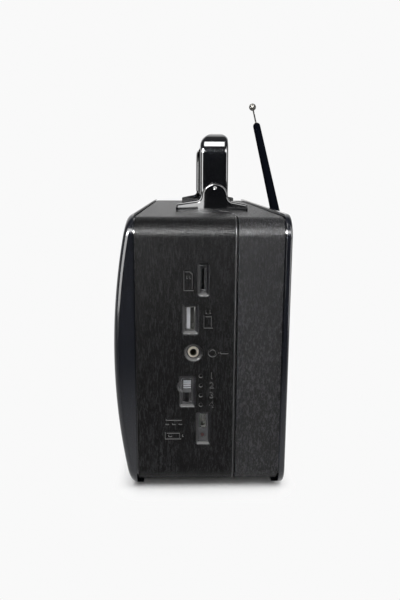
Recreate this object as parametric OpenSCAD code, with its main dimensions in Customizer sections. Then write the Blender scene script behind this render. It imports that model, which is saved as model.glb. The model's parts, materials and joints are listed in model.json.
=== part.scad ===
// Portable table radio with a leather-covered cabinet, bowed front and telescopic aerial.
// Millimetres. +X is the user's right when facing the front, the front looks along -Y, +Z is up.
// Sub-parts are drawn in cabinet coordinates: x from the middle of the cabinet, y back from the
// front groove and z up from the cabinet's underside. place() moves them into the part's frame.

/* [Cabinet] */
// Width of the leather-covered cabinet
cab_w = 270; // [255:1:300]
// Height of the cabinet between its top and bottom faces
cab_h = 150; // [146:1:165]
// Depth of the front half, from the front groove to the seam
front_depth = 54.5; // [54:0.5:66]
// Depth of the rear half, from the seam to the rear groove
rear_depth = 24.8; // [24.8:0.1:40]
// Rounding of the cabinet's long edges
cab_r = 10.6; // [8:0.1:14]
// Thickness of the leather
leather_t = 1; // [0.8:0.1:1.4]
// Wall of the two plastic shells
wall = 2.5; // [2:0.1:3.2]
// Width of the grooves between the shells and their rims
groove = 0.7; // [0.4:0.1:1]
// Height of the bead beside the seam
bead_h = 0.4; // [0.2:0.1:0.6]
// Width of the bead beside the seam
bead_w = 1.1; // [0.8:0.1:1.6]
// How far the shells' front and rear flanges reach inwards, from the cabinet's outside
flange_in = 10; // [8:0.5:11]

/* [Rims] */
// How far the rims stand below the cabinet as feet
foot_h = 3; // [2:0.1:5]
// How far the rims stand above the cabinet's top
rim_top = 1.5; // [0.6:0.1:2.5]
// How far the rims stand out at the sides
rim_side = 1; // [0.6:0.1:2]
// Corner radius of the rims
rim_r = 13; // [11:0.5:16]
// How far the feet reach under the cabinet
foot_in = 3; // [2.4:0.1:4]
// Depth of the rear rim, front to back
rear_rim_d = 3.3; // [3:0.1:4.5]
// Inner edge of both rims, from the cabinet's outside
rim_in = 5.5; // [5:0.1:6.5]

/* [Bowed front] */
// How far the front bows out at mid height
bow = 11.6; // [10:0.1:14]
// Radius of the bow
bow_r = 355; // [300:5:450]
// How far the control panel sits behind the front rim's edge
panel_set = 2.6; // [1.5:0.1:3.5]
// Thickness of the control panel
panel_t = 2.5; // [2:0.1:3]
// Width of the raised outer bead of the front rim
bezel_bead = 3.2; // [2.5:0.1:4]
// Rounding of the front rim's side edges
bezel_round = 2.8; // [2:0.1:3]
// Rounding where the front rim turns over into its top and its foot
rim_over = 5; // [3:0.1:5]
// Rounding of the rear rim's edges
rear_round = 1.6; // [1:0.1:2]

/* [Loudspeaker and grille] */
// From the cabinet's left side to the grille opening
grille_side = 19; // [16:1:23]
// Width of the grille opening
grille_w = 148; // [130:1:152]
// From the cabinet's top and bottom to the grille opening
grille_margin = 19; // [18:1:25]
// Corner radius of the grille opening
grille_r = 10; // [6:0.5:14]
// Distance from one louvre to the next
slat_pitch = 6.2; // [5.4:0.1:8]
// Thickness of a louvre
slat_t = 3; // [2.4:0.1:3.6]
// Depth of a louvre, front to back
slat_d = 3.4; // [3:0.1:4]
// Width of the bright trim around the grille
trim_w = 3; // [2:0.1:4]
// Thickness of the loudspeaker board
baffle_t = 3; // [2.5:0.5:4]
// Radius of the loudspeaker's mounting flange
speaker_r = 50; // [44:1:54]
// Depth of the loudspeaker behind its flange
speaker_d = 34; // [28:1:38]

/* [Controls] */
// From the cabinet's right side to the middle of the dial
dial_side = 47; // [45:1:51]
// Middle of the dial, above mid height
dial_rise = 9; // [5:1:11]
// Radius of the dial
dial_r = 29; // [26:0.5:31]
// Radius of the tuning knob
tuning_r = 17; // [14:0.5:19]
// Radius of the volume knob
volume_r = 12; // [10:0.5:13]
// How far the volume knob is below the dial
volume_drop = 53; // [51:0.5:56]
// How far the tuning knob's face is in front of the front groove
knob_reach = 14.5; // [13:0.5:17]
// Radius of the two control shafts
shaft_r = 3; // [2.5:0.1:3.5]
// Number of push buttons
button_count = 4; // [2:1:4]
// Radius of a push button
button_r = 4.2; // [3.5:0.1:4.6]
// Distance between push buttons
button_pitch = 13; // [12:0.5:14]
// How far the push buttons are below the cabinet's top
button_drop = 22; // [20:0.5:24]
// Travel of a push button
button_travel = 0.7; // [0.5:0.1:0.9]
// How far the push buttons stand out of the panel
button_out = 1.6; // [1.2:0.1:2.2]

/* [Side sockets] */
// Depth of the recesses around the sockets
recess_d = 2.2; // [1.8:0.1:2.6]
// Travel of the band switch over its four positions
switch_travel = 5.7; // [4.5:0.1:5.7]
// Bore of the headphone-type audio socket
aux_bore = 3.6; // [3.5:0.05:3.8]
// Outer diameter of the audio socket's collar
aux_collar = 5.8; // [5.4:0.1:6.4]

/* [Handle] */
// Width of the handle strap
strap_w = 17.2; // [15:0.1:20]
// Thickness of the handle strap
strap_t = 5.5; // [4.5:0.1:7]
// Height of the handle's pivot above the cabinet
pivot_h = 14.4; // [13:0.1:15]
// Height of the handle's top above the cabinet
handle_h = 47.4; // [42:0.1:60]
// Inner radius of the handle's bends
bend_r = 9; // [6:0.5:14]
// Distance between the inner faces of the two brackets
bracket_gap = 146; // [120:1:170]
// Length of a bracket along the cabinet's depth
bracket_l = 44.2; // [40:0.2:48]
// How far the middle of a bracket is off its pivot, towards its longer arm
bracket_shift = 1.4; // [0:0.1:3]
// Thickness of a bracket at its two ends
bracket_end = 3.4; // [2.5:0.1:5]
// How much thicker a bracket is in the middle
bracket_swell = 7; // [5:0.5:9]
// How far the middle of the handle is in front of the seam
handle_back = 9.9; // [8.5:0.1:12.5]
// Radius of the handle's pivot pins
pivot_r = 1.6; // [1.2:0.1:2]
// Radius of the pins' ends, which show in the outer faces of the brackets
pivot_tip_r = 1; // [0.6:0.1:1.1]

/* [Aerial] */
// Aerial pivot, to the right of the middle
aerial_x = 70; // [60:1:90]
// Aerial pivot below the cabinet's top
aerial_drop = 14; // [13:1:20]
// Radius of the aerial's outer tube
aerial_r = 3; // [2.8:0.1:3.4]
// Length of the outer tube, from the pivot to its mouth
aerial_l = 160; // [120:1:180]
// Angle of the aerial above level, towards the left
aerial_tilt = 29; // [10:1:80]
// How far each inner section stands out when pushed home
aerial_step = 1.8; // [1:0.1:3]
// Length of thin rod that stands out below the tip ball
tip_rod = 31; // [10:1:40]
// Radius of the tip ball
tip_r = 3.1; // [2.5:0.1:4]

/* [Power] */
// Radius of the rechargeable cell
cell_r = 9.2; // [9:0.1:9.3]
// Length of the rechargeable cell
cell_l = 65; // [60:1:70]
// Middle of the cell above the cabinet's underside
cell_z = 27; // [26:0.5:40]

/* [Fits] */
// Gap between pieces that are assembled together
fit = 0.15; // [0.1:0.05:0.25]
// Radial running clearance of shafts, pins and slides
run = 0.05; // [0.03:0.01:0.08]
// Gap between parts that move past each other
clear = 0.3; // [0.25:0.05:0.5]

/* [Hidden] */
$fn = 72;

// Colours
leather_c = "#2b2b2c";
black_c = "#17181b";
chrome_c = "#3c3f45";
steel_c = "silver";
board_c = "#1f5a35";

// Planes across the depth of the cabinet
front_y = groove / 2;
seam_y = front_depth;
seam_gap = 0.7;
rear_groove_y = front_depth + rear_depth;
rear_rim_y = rear_groove_y + groove / 2;
rear_face_y = rear_rim_y + rear_rim_d;
flange_t = 2.5;
shell_in = leather_t + wall;
rear_flange_y = rear_groove_y - groove / 2 - flange_t;

// The rear panel sits inside the rear rim, a little behind its back edge
rear_panel_t = 2;
rear_panel_y = rear_face_y - 0.75;

// The cabinet is held together by screws into four long posts
post_in = 12.5;
post_r = 4.2;
screw_r = 1.5;
pilot_r = screw_r + run;
screw_head_r = 2.8;

// The bow of the front
bow_y = bow_r - bow;
mid_z = cab_h / 2;
dial_x = cab_w / 2 - dial_side;
dial_z = mid_z + dial_rise;
volume_z = dial_z - volume_drop;
button_z = cab_h - button_drop;
grille_h = cab_h - 2 * grille_margin;
grille_x = grille_side + (grille_w - cab_w) / 2;
// Height of the bowed surface, set back by some amount, at a height z
function bow_at(z, set) = bow_y - sqrt(pow(bow_r - set, 2) - pow(z - mid_z, 2));

// Board behind the grille and the main board behind the controls
baffle_y = front_y + 0.15;
board_y = 12;
board_t = 1.6;
board_left = 38;
board_right = 31;
board_low = 18;
board_high = 17;
baffle_over = 5;
baffle_in = 10.5;
board_screw_l = 7;
small_screw_r = 1.1;
baffle_screw_x = [-58, 0, 58];
grille_flange = 2.2;
baffle_boss_r = 3;
baffle_screw_h = grille_h / 2 + grille_flange + baffle_boss_r + clear;
baffle_screw_z = [mid_z - baffle_screw_h, mid_z + baffle_screw_h];
board_boss = [[-34, -38], [27, -38], [-34, 38], [27, 33]];

// Wells that hold the dial and the volume knob
dial_ring_w = 2.4;
dial_t = 0.8;
dial_well_y = -5.6;
volume_well_y = -4.2;
volume_reach = 12.2;
volume_well_r = volume_r + 2;
well_floor = 2;
bush_r = shaft_r + 1.6;

// Side sockets: [y, z, width in y, height in z, corner radius]
card_port = [36.45, mid_z + 42.6, 6.3, 18.2, 1.6];
usb_port = [29.6, mid_z + 21.1, 8.8, 16.6, 1.2];
switch_port = [27.85, mid_z - 19.55, 8.8, 18.1, 1.2];
charge_port = [36.65, mid_z - 41.15, 7.9, 19.1, 1];
aux_at = [31.2, mid_z + 2.6];
aux_recess_r = 5;
PORTS = [card_port, usb_port, switch_port, charge_port];
side_x = cab_w / 2;
socket_x = side_x - recess_d - 0.2;
inner_x = side_x - shell_in;
side_board_y = 34.15;
side_board_t = 1;
side_board_z = [charge_port[1] - charge_port[3] / 2 - 2.3, card_port[1] + card_port[3] / 2 + 3.3];
side_board_w = 30;
rail_w = 6;
rail_l = 8;

// Openings through the recess floors: [width in y, height in z, corner radius]
card_slot_cut = [2.7, 14.1, 0.4];
usb_cut = [5.3, 13.2, 0.4];
switch_cut = [4.7, 13.5, 0.3];
charge_cut = [3.4, 8.4, 0.6];
charge_z = charge_port[1] + 3.9;
light_at = [36.4, charge_port[1] - 4.55];
light_r = 1;
slider_w = 4.1;
slide_margin = 0.4;
slider_h = switch_cut[1] - 2 * slide_margin - switch_travel;
// The slider rests at the top of its slot
slider_z = switch_port[1] + switch_cut[1] / 2 - slider_h / 2 - slide_margin;

// Handle and brackets, measured from the top of the cabinet
handle_y = seam_y - handle_back;
bracket_x = bracket_gap / 2;
bracket_t = bracket_end + bracket_swell;
bracket_r = (pow(bracket_l / 2, 2) + pow(bracket_swell, 2)) / (2 * bracket_swell);
dome_r = 8;
dome_z = 9.1;
shoulder_w = 9;
shoulder_z = 6.7;
toe_z = 4.3;
bracket_screw_y = [-13, 0.5];
bracket_screw_x = 3.8;
strap_corner = 1.8;
strap_front_r = 8;
strap_back_r = 4;
strap_gap = clear;
strap_x = bracket_x - strap_gap - strap_t;
strap_end = 7.5;
pivot_cover = 2.8;

// Aerial
aerial_z = cab_h - aerial_drop;
aerial_lean = aerial_tilt - 90;
aerial_y = rear_face_y + aerial_r + 0.65;
fork_gap = 1.5 + run;
fork_t = 1.5;
fork_r = 3.6;
aerial_pin_r = 1;
tang_r = 2.3;
base_r = 7;
base_t = 0.8;
swivel_r = 5.5;
swivel_t = 0.8;
journal_r = 3;
tube_start = 6.2;
tube_floor = 14;
mouth_l = 3;
collar_l = 4;
thin_wall = 0.25;
section_r = [aerial_r, 2.3, 1.75, 1.25, 0.65];
// Bore of a section, and the tighter bore at its mouth
function bore_r(i) = i == 0 ? aerial_r - 0.3 : section_r[i] - thin_wall;
function mouth_r(i) = section_r[i + 1] + run;
function section_top(i) = aerial_l + aerial_step * i;
function section_foot(i) = tube_floor + 1.5 * i;

// Battery compartment
door_t = 1.8;
cell_gap = 3.7;
cell_y = rear_panel_y - door_t - cell_gap - cell_r;
bay_w = cell_l + 8;
bay_h = 2 * cell_r + 2.4;
bay_t = 1.5;
bay_y = cell_y - cell_r - 1.2;
door_w = bay_w + 3;
door_h = bay_h + 2;
door_pin_r = 1;
door_pin_l = 2;
door_hinge_z = cell_z - door_h / 2 + door_t / 2;
door_hinge_y = rear_panel_y - door_t / 2;

// Ferrite rod of the built-in aerial
ferrite_r = 4;
ferrite_l = 120;
ferrite_x = -40;
ferrite_y = 44;
ferrite_z = cab_h - shell_in - 13;

// The part's frame is centred on its own depth
front_reach = knob_reach;
back_reach = aerial_y + fork_r;
groove_y = (front_reach - back_reach) / 2;

// ---- Placing and extruding ----

module place() {
    translate([0, groove_y, foot_h]) children();
}

// A shape drawn in x and z, made solid from y0 back to y1
module slab_y(y0, y1) {
    translate([0, y1, 0]) rotate([90, 0, 0]) linear_extrude(y1 - y0) children();
}

// A shape drawn in y and z, made solid from x0 to x1
module slab_x(x0, x1) {
    translate([x0, 0, 0]) rotate([90, 0, 90]) linear_extrude(x1 - x0) children();
}

module rod_y(x, z, r, y0, y1) {
    translate([x, y0, z]) rotate([-90, 0, 0]) cylinder(r = r, h = y1 - y0);
}

module rod_x(y, z, r, x0, x1) {
    translate([x0, y, z]) rotate([0, 90, 0]) cylinder(r = r, h = x1 - x0);
}

module rounded(w, h, r) {
    square([w - 2 * r, h], center = true);
    square([w, h - 2 * r], center = true);
    for (x = [-1, 1], z = [-1, 1])
        translate([x * (w / 2 - r), z * (h / 2 - r)]) circle(r);
}

// The cabinet's outline, seen from the front, drawn in by some amount
module outline(inset) {
    translate([0, mid_z])
        rounded(cab_w - 2 * inset, cab_h - 2 * inset, max(cab_r - inset, 1.5));
}

module ring(outer, inner, y0, y1) {
    slab_y(y0, y1) difference() {
        outline(outer);
        outline(inner);
    }
}

// The outline of the rims, whose lower edge is the radio's foot
module rim_outline(inset = 0) {
    translate([0, mid_z + (rim_top - foot_h) / 2])
        rounded(cab_w + 2 * rim_side - 2 * inset, cab_h + rim_top + foot_h - 2 * inset, rim_r - inset);
}

module rim_opening(grow) {
    translate([0, mid_z]) rounded(cab_w - 2 * rim_in + 2 * grow, cab_h - 2 * rim_in + 2 * grow, 8);
}

// Everything behind the bowed surface that is set back by some amount
module bowed(set) {
    translate([-cab_w, bow_y, mid_z]) rotate([0, 90, 0])
        cylinder(r = bow_r - set, h = 2 * cab_w, $fn = 720);
}

// A curved plate between two bowed surfaces, cut to a shape drawn in x and z
module bowed_plate(set0, set1) {
    difference() {
        intersection() {
            bowed(set0);
            slab_y(-bow - 2, front_y) children();
        }
        bowed(set1);
    }
}

module port_shape(port) {
    translate([port[0], port[1]]) rounded(port[2], port[3], port[4]);
}

// All recess outlines on the side, with the scallop for a thumb beside the band switch
module recess_shapes() {
    for (port = PORTS) port_shape(port);
    translate(aux_at) circle(aux_recess_r);
    translate([switch_port[0] - 1, slider_z]) circle(4.6);
}

module at_posts() {
    for (x = [-1, 1], z = [post_in, cab_h - post_in])
        translate([x * (cab_w / 2 - post_in), 0, z]) children();
}

module pan_screw(head_r, head_h, r, length) {
    rotate([-90, 0, 0]) {
        cylinder(r = r, h = length);
        translate([0, 0, -head_h]) cylinder(r = head_r, h = head_h);
    }
}

// ---- Cabinet ----

module front_leather() {
    color(leather_c) place() difference() {
        union() {
            ring(0, leather_t, front_y, seam_y - seam_gap / 2);
            ring(-bead_h, leather_t / 2, seam_y - seam_gap / 2 - bead_w, seam_y - seam_gap / 2);
        }
        slab_x(inner_x, side_x + 1) recess_shapes();
        bracket_screw_holes(screw_r + fit);
    }
}

module front_shell() {
    color(black_c) place() difference() {
        union() {
            ring(leather_t, shell_in, front_y, seam_y - seam_gap / 2);
            ring(shell_in - 0.2, flange_in, front_y, front_y + flange_t);
            seam_tongue();
            at_posts() rod_y(0, 0, post_r, front_y, rear_flange_y);
            side_board_rails();
            ferrite_clips();
        }
        slab_x(side_x - recess_d, side_x + 1) recess_shapes();
        socket_openings();
        bracket_screw_holes(screw_r + fit);
        at_posts() rod_y(0, 0, pilot_r, rear_flange_y - 14, rear_flange_y + 1);
    }
}

// A lip of the front shell that centres the rear shell
module seam_tongue() {
    lip = 1.6;
    ring(shell_in - 0.2, shell_in + fit + lip, seam_y - 6, seam_y - 2);
    ring(shell_in + fit, shell_in + fit + lip, seam_y - 6, seam_y + 3);
}

module socket_openings() {
    x0 = inner_x - 1;
    slab_x(x0, side_x) {
        translate([card_port[0], card_port[1]])
            rounded(card_slot_cut[0], card_slot_cut[1], card_slot_cut[2]);
        translate([usb_port[0], usb_port[1]]) rounded(usb_cut[0], usb_cut[1], usb_cut[2]);
        translate([switch_port[0], switch_port[1]]) rounded(switch_cut[0], switch_cut[1], switch_cut[2]);
        translate([charge_port[0], charge_z]) rounded(charge_cut[0], charge_cut[1], charge_cut[2]);
        translate(aux_at) circle(aux_collar / 2 + fit);
        translate(light_at) circle(light_r + fit);
    }
}

// Two blocks on the side wall whose ends hold the side board
module side_board_rails() {
    for (end = [0, 1]) {
        z0 = end == 0 ? side_board_z[0] - rail_w : side_board_z[1];
        translate([inner_x - rail_l, side_board_y - 3, z0])
            cube([rail_l + 0.2, side_board_t + 6, rail_w]);
    }
}

// Two hooks under the top wall that hold the ferrite rod
module ferrite_clips() {
    for (side = [-1, 1]) {
        x = ferrite_x + side * (ferrite_l / 2 - 10);
        difference() {
            union() {
                rod_x(ferrite_y, ferrite_z, ferrite_r + 2, x - 3, x + 3);
                translate([x - 3, ferrite_y - 2, ferrite_z + ferrite_r])
                    cube([6, 4, cab_h - shell_in - ferrite_z - ferrite_r + 0.2]);
            }
            rod_x(ferrite_y, ferrite_z, ferrite_r + fit, x - 4, x + 4);
            translate([x - 4, ferrite_y - ferrite_r / 2 - 1, ferrite_z - ferrite_r - 3])
                cube([8, ferrite_r + 2, ferrite_r + 1]);
        }
    }
}

module rear_leather() {
    color(leather_c) place() ring(0, leather_t, seam_y + seam_gap / 2, rear_groove_y - groove / 2);
}

module rear_shell() {
    color(black_c) place() difference() {
        union() {
            ring(leather_t, shell_in, seam_y + seam_gap / 2, rear_groove_y - groove / 2);
            ring(shell_in - 0.2, flange_in, rear_flange_y, rear_flange_y + flange_t);
            at_posts() rod_y(0, 0, post_r + 2, rear_flange_y, rear_flange_y + flange_t);
        }
        at_posts() rod_y(0, 0, screw_r + fit, rear_flange_y - 1, rear_face_y);
        rod_y(aerial_x, aerial_z, base_r, rear_flange_y - 1, rear_face_y);
    }
}

// ---- Rims ----

// A drum whose rim is rounded where the front rim's long edges are
module rounded_drum() {
    half = cab_w / 2 + rim_side;
    translate([0, bow_y, mid_z]) rotate([0, 90, 0]) rotate_extrude($fn = 720) {
        translate([0, -half + bezel_round]) square([bow_r, 2 * (half - bezel_round)]);
        translate([0, -half]) square([bow_r - bezel_round, 2 * half]);
        for (side = [-1, 1])
            translate([bow_r - bezel_round, side * (half - bezel_round)]) circle(bezel_round, $fn = 48);
    }
}

// A rim seen from the side: it rounds over at y0 into its top and its foot, and between them
// it may reach further forward, to face
module rim_profile(face, y0, y1, r) {
    z0 = -foot_h;
    z1 = cab_h + rim_top;
    for (z = [z0 + r, z1 - r]) translate([y0 + r, z]) circle(r);
    translate([face, z0 + r]) square([y1 - face, z1 - z0 - 2 * r]);
    translate([y0 + r, z0]) square([y1 - y0 - r, z1 - z0]);
}

module front_rim() {
    color(black_c) place() {
        difference() {
            intersection() {
                rounded_drum();
                slab_x(-cab_w, cab_w)
                    rim_profile(-bow - 1, bow_at(cab_h + rim_top - rim_over, 0), 2 * foot_in, rim_over);
                slab_y(-bow - 2, foot_in) rim_outline();
            }
            slab_y(-bow - 3, foot_in + 1) rim_opening(0);
            above_foot(-groove / 2, foot_in + 1);
            front_rim_step();
        }
        ring(leather_t + fit, shell_in, -groove / 2 - 0.5, front_y);
    }
}

// The side wall behind the raised bead lies a little deeper
module front_rim_step() {
    step = 0.5;
    intersection() {
        bowed(bezel_bead);
        slab_y(-bow, 1) difference() {
            translate([-cab_w, rim_r - 1]) square([2 * cab_w, 2 * cab_h]);
            rim_outline(step);
        }
    }
}

// The space that the cabinet takes up, above the part of a rim that reaches under it as a foot
module above_foot(y0, y1) {
    slab_y(y0, y1) translate([-cab_w, -clear]) square([2 * cab_w, 2 * cab_h]);
}

module rear_rim() {
    color(black_c) place() {
        foot_y = rear_groove_y - foot_in;
        difference() {
            intersection() {
                slab_y(foot_y, rear_face_y) rim_outline();
                mirror([0, 1, 0]) slab_x(-cab_w, cab_w)
                    rim_profile(-rear_face_y, -rear_face_y, 0, rear_round);
                translate([0, 0, -cab_h]) linear_extrude(3 * cab_h) translate([0, rear_face_y - rim_r])
                    rounded(cab_w + 2 * rim_side, 2 * rim_r, rear_round);
            }
            slab_y(foot_y - 1, rear_face_y + 1) rim_opening(0);
            above_foot(foot_y - 1, rear_rim_y);
        }
        ring(leather_t + fit, shell_in, rear_groove_y - groove / 2, rear_rim_y + 0.5);
    }
}

// ---- Bowed control panel ----

module grille_outline(grow) {
    translate([grille_x, mid_z]) rounded(grille_w + 2 * grow, grille_h + 2 * grow, grille_r + grow);
}

// x of a push button
function button_x(i) = dial_x + (i - (button_count - 1) / 2) * button_pitch;

module control_panel() {
    color("#1d1e21") place() difference() {
        union() {
            bowed_plate(panel_set, panel_set + panel_t) rim_opening(-fit);
            intersection() {
                bowed(panel_set);
                slab_y(-bow, front_y) difference() {
                    rim_opening(-fit);
                    rim_opening(-fit - 2.4);
                }
            }
            intersection() {
                bowed(panel_set + 0.5);
                panel_bosses();
            }
        }
        slab_y(-bow - 2, 8) grille_outline(fit);
        rod_y(dial_x, dial_z, dial_r + dial_ring_w + fit, -bow - 2, dial_well_y);
        rod_y(dial_x, volume_z, volume_well_r, -bow - 2, volume_well_y);
        for (z = [dial_z, volume_z]) rod_y(dial_x, z, bush_r + fit, -bow - 2, 2);
        for (i = [0 : button_count - 1]) rod_y(button_x(i), button_z, button_r + clear / 2, -bow - 2, 2);
        rod_y(dial_x - 27, volume_z, 1.5 + fit, -bow - 2, 2);
        for (x = baffle_screw_x, z = baffle_screw_z)
            rod_y(grille_x + x, z, small_screw_r + run, baffle_y - 4, baffle_y + 1);
        for (p = board_boss)
            rod_y(dial_x + p[0], dial_z + p[1], small_screw_r + run, board_y - 7, board_y + 1);
    }
}

// Wells for the dial and volume knob, and bosses for the boards
module panel_bosses() {
    rod_y(dial_x, dial_z, dial_r + dial_ring_w + 2, -bow, dial_well_y + well_floor);
    rod_y(dial_x, volume_z, volume_well_r + 2, -bow, volume_well_y + well_floor);
    for (x = baffle_screw_x, z = baffle_screw_z) rod_y(grille_x + x, z, baffle_boss_r, -bow, baffle_y);
    for (p = board_boss) rod_y(dial_x + p[0], dial_z + p[1], 3.2, -bow, board_y);
}

// ---- Grille and loudspeaker ----

module grille_trim() {
    color(chrome_c) place() bowed_plate(panel_set - 0.8, panel_set + 1.2) difference() {
        grille_outline(0);
        grille_outline(-trim_w);
    }
}

frame_w = 4;
slat_span = grille_h - 2 * frame_w;
slat_count = floor(slat_span / slat_pitch);

// Louvres that follow the bow, in a frame that is clamped behind the panel
module speaker_grille() {
    color("#2a2c30") place() {
        bowed_plate(panel_set + 1.2, panel_set + panel_t) difference() {
            grille_outline(0);
            grille_outline(-frame_w);
        }
        bowed_plate(panel_set + panel_t, panel_set + panel_t + 1.5) difference() {
            grille_outline(grille_flange);
            grille_outline(-frame_w);
        }
        for (i = [0 : slat_count - 1]) slat((i - (slat_count - 1) / 2) * slat_pitch, slat_t);
        for (x = [-1, 0, 1]) grille_rib(grille_x + x * grille_w / 4);
        grille_legs();
    }
}

// One louvre with a rounded nose, turned to stand square to the bow
module slat(height, thick) {
    r = bow_r - panel_set - 1.2;
    angle = asin(height / r);
    half = grille_w / 2 - frame_w + 0.5;
    translate([0, bow_y, mid_z]) rotate([-angle, 0, 0]) slab_x(grille_x - half, grille_x + half) {
        translate([-r + thick / 2, 0]) circle(thick / 2, $fn = 32);
        translate([-r + thick / 2, -thick / 2]) square([slat_d - thick / 2, thick]);
    }
}

// An upright rib that ties the louvres together from behind
module grille_rib(x) {
    bowed_plate(panel_set + 1.2 + slat_d - 1.4, panel_set + 1.2 + slat_d)
        translate([x - 1.2, mid_z - grille_h / 2 + 1]) square([2.4, grille_h - 2]);
}

// Legs that stand on the board behind
module grille_legs() {
    for (x = [-1, 1], z = [-1, 1]) {
        height = mid_z + z * (grille_h / 2 - 14);
        rod_y(grille_x + x * (grille_w / 2 - 1), height, 1.6,
            bow_at(height, panel_set + panel_t + 0.7), baffle_y);
    }
}

module grille_cloth() {
    color("#202022") place() slab_y(baffle_y - 0.4, baffle_y) translate([grille_x, mid_z])
        rounded(grille_w - 2 * frame_w - 2, 2 * speaker_r - 2, 6);
}

module baffle_board() {
    half_w = grille_w / 2 + baffle_over;
    color("#6b5a45") place() slab_y(baffle_y, baffle_y + baffle_t) difference() {
        translate([grille_x, mid_z]) rounded(2 * half_w, cab_h - 2 * baffle_in, grille_r + 2);
        translate([grille_x, mid_z]) circle(speaker_r - 6);
        for (x = baffle_screw_x, z = baffle_screw_z)
            translate([grille_x + x, z]) circle(small_screw_r + fit);
        at_speaker_screws() circle(small_screw_r + run);
    }
}

module at_speaker_screws() {
    for (a = [45 : 90 : 315])
        translate([grille_x + (speaker_r - 2.5) * cos(a), mid_z + (speaker_r - 2.5) * sin(a)]) children();
}

speaker_y = baffle_y + baffle_t;
basket_y = speaker_y + 1.2;
magnet_r = 0.56 * speaker_r;
magnet_h = 12;
magnet_y = speaker_y + speaker_d - magnet_h;

module speaker_frame() {
    color("#3a3d40") place() difference() {
        union() {
            slab_y(speaker_y, basket_y) {
                translate([grille_x, mid_z]) circle(speaker_r - 3);
                at_speaker_screws() circle(4);
            }
            basket(speaker_r - 5, magnet_r + 1, basket_y, magnet_y);
        }
        basket(speaker_r - 6.2, magnet_r - 0.2, speaker_y - 1, magnet_y - 1.2);
        basket(speaker_r - 6.2, speaker_r - 6.2, speaker_y - 1, basket_y);
        rod_y(grille_x, mid_z, 13, magnet_y - 2, magnet_y + 1);
        for (a = [0 : 60 : 300]) basket_window(a);
        translate([0, speaker_y - 1, 0]) rotate([90, 0, 0]) mirror([0, 0, 1]) linear_extrude(3)
            at_speaker_screws() circle(small_screw_r + fit);
    }
}

// A cone about the loudspeaker's axis
module basket(r0, r1, y0, y1) {
    translate([grille_x, y0, mid_z]) rotate([-90, 0, 0]) cylinder(r1 = r0, r2 = r1, h = y1 - y0);
}

module basket_window(a) {
    translate([grille_x, 0, mid_z]) rotate([0, a, 0])
        translate([magnet_r + 2, basket_y + 3, -9]) cube([speaker_r, magnet_y - basket_y - 6, 18]);
}

// Paper cone with a rolled edge and a dust cap
module speaker_cone() {
    rim = speaker_r - 6.6;
    roll = 2.6;
    t = 0.8;
    depth = magnet_y - speaker_y - 5;
    color("#2a2522") place() translate([grille_x, speaker_y, mid_z]) rotate([-90, 0, 0]) rotate_extrude() {
        difference() {
            translate([rim - roll, 0]) circle(roll, $fn = 40);
            translate([rim - roll, 0]) circle(roll - t, $fn = 40);
            square([rim + 1, roll + 1]);
        }
        polygon([[rim - 2 * roll, 0], [rim - 2 * roll + t, 0], [13, depth], [0, depth], [0, depth - t],
            [12.4, depth - t]]);
    }
}

module speaker_magnet() {
    color("#55585c") place() {
        rod_y(grille_x, mid_z, magnet_r, magnet_y, magnet_y + 2);
        rod_y(grille_x, mid_z, magnet_r - 2, magnet_y + 2, magnet_y + magnet_h - 2);
        rod_y(grille_x, mid_z, magnet_r - 4, magnet_y + magnet_h - 2, magnet_y + magnet_h);
    }
}

module speaker_screws() {
    color(steel_c) place() at_speaker_screws_solid();
}

module at_speaker_screws_solid() {
    for (a = [45 : 90 : 315])
        translate([grille_x + (speaker_r - 2.5) * cos(a), basket_y, mid_z + (speaker_r - 2.5) * sin(a)])
            mirror([0, 1, 0]) pan_screw(2, 1.2, small_screw_r, baffle_t + 0.8);
}

module baffle_screws() {
    color(steel_c) place() for (x = baffle_screw_x, z = baffle_screw_z)
        translate([grille_x + x, speaker_y, z]) 
            mirror([0, 1, 0]) pan_screw(2.2, 1.3, small_screw_r, baffle_t + 3);
}

// ---- Dial and controls ----

module tuning_dial() {
    color("#c9c3b4") place() difference() {
        rod_y(dial_x, dial_z, dial_r - fit, dial_well_y - dial_t, dial_well_y);
        rod_y(dial_x, dial_z, bush_r + fit, dial_well_y - 2, dial_well_y + 1);
    }
}

module dial_ring() {
    front = -bow + panel_set - 0.9;
    color(chrome_c) place() translate([dial_x, 0, dial_z]) rotate([-90, 0, 0]) rotate_extrude() {
        translate([dial_r, front + dial_ring_w / 2])
            square([dial_ring_w, dial_well_y - front - dial_ring_w / 2]);
        translate([dial_r + dial_ring_w / 2, front + dial_ring_w / 2]) circle(dial_ring_w / 2, $fn = 40);
    }
}

// A round knob with a skirt, a fluted grip, a dished face and a pointer notch
module knob(r, reach, foot_y, flutes) {
    skirt = 2;
    grip_r = r - 1.6;
    edge = 0.5;
    flute_r = 1;
    difference() {
        union() {
            rod_y(0, 0, grip_r, -reach + edge, foot_y);
            rotate([-90, 0, 0]) translate([0, 0, -reach])
                cylinder(r1 = grip_r - edge, r2 = grip_r, h = edge);
            rod_y(0, 0, r, foot_y - skirt, foot_y);
        }
        rod_y(0, 0, grip_r - 2.4, -reach - 1, -reach + 0.8);
        for (i = [0 : flutes - 1]) rotate([0, (i + 0.5) * 360 / flutes, 0])
            rod_y(grip_r + flute_r - 0.7, 0, flute_r, -reach - 1, foot_y - skirt - edge);
        rod_y(0, 0, shaft_r + run / 2, -reach + 3, foot_y + 1);
        translate([-0.6, -reach - 1, grip_r - 6]) cube([1.2, 2.6, 4.7]);
    }
}

module tuning_knob() {
    color(chrome_c) place() translate([dial_x, 0, dial_z])
        knob(tuning_r, knob_reach, dial_well_y - dial_t - clear, 30);
}

module volume_knob() {
    color(chrome_c) place() translate([dial_x, 0, volume_z])
        knob(volume_r, volume_reach, volume_well_y - clear, 22);
}

capacitor_y = 1;
capacitor_w = 20;
pot_r = 8.5;
pot_y = 4;

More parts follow.
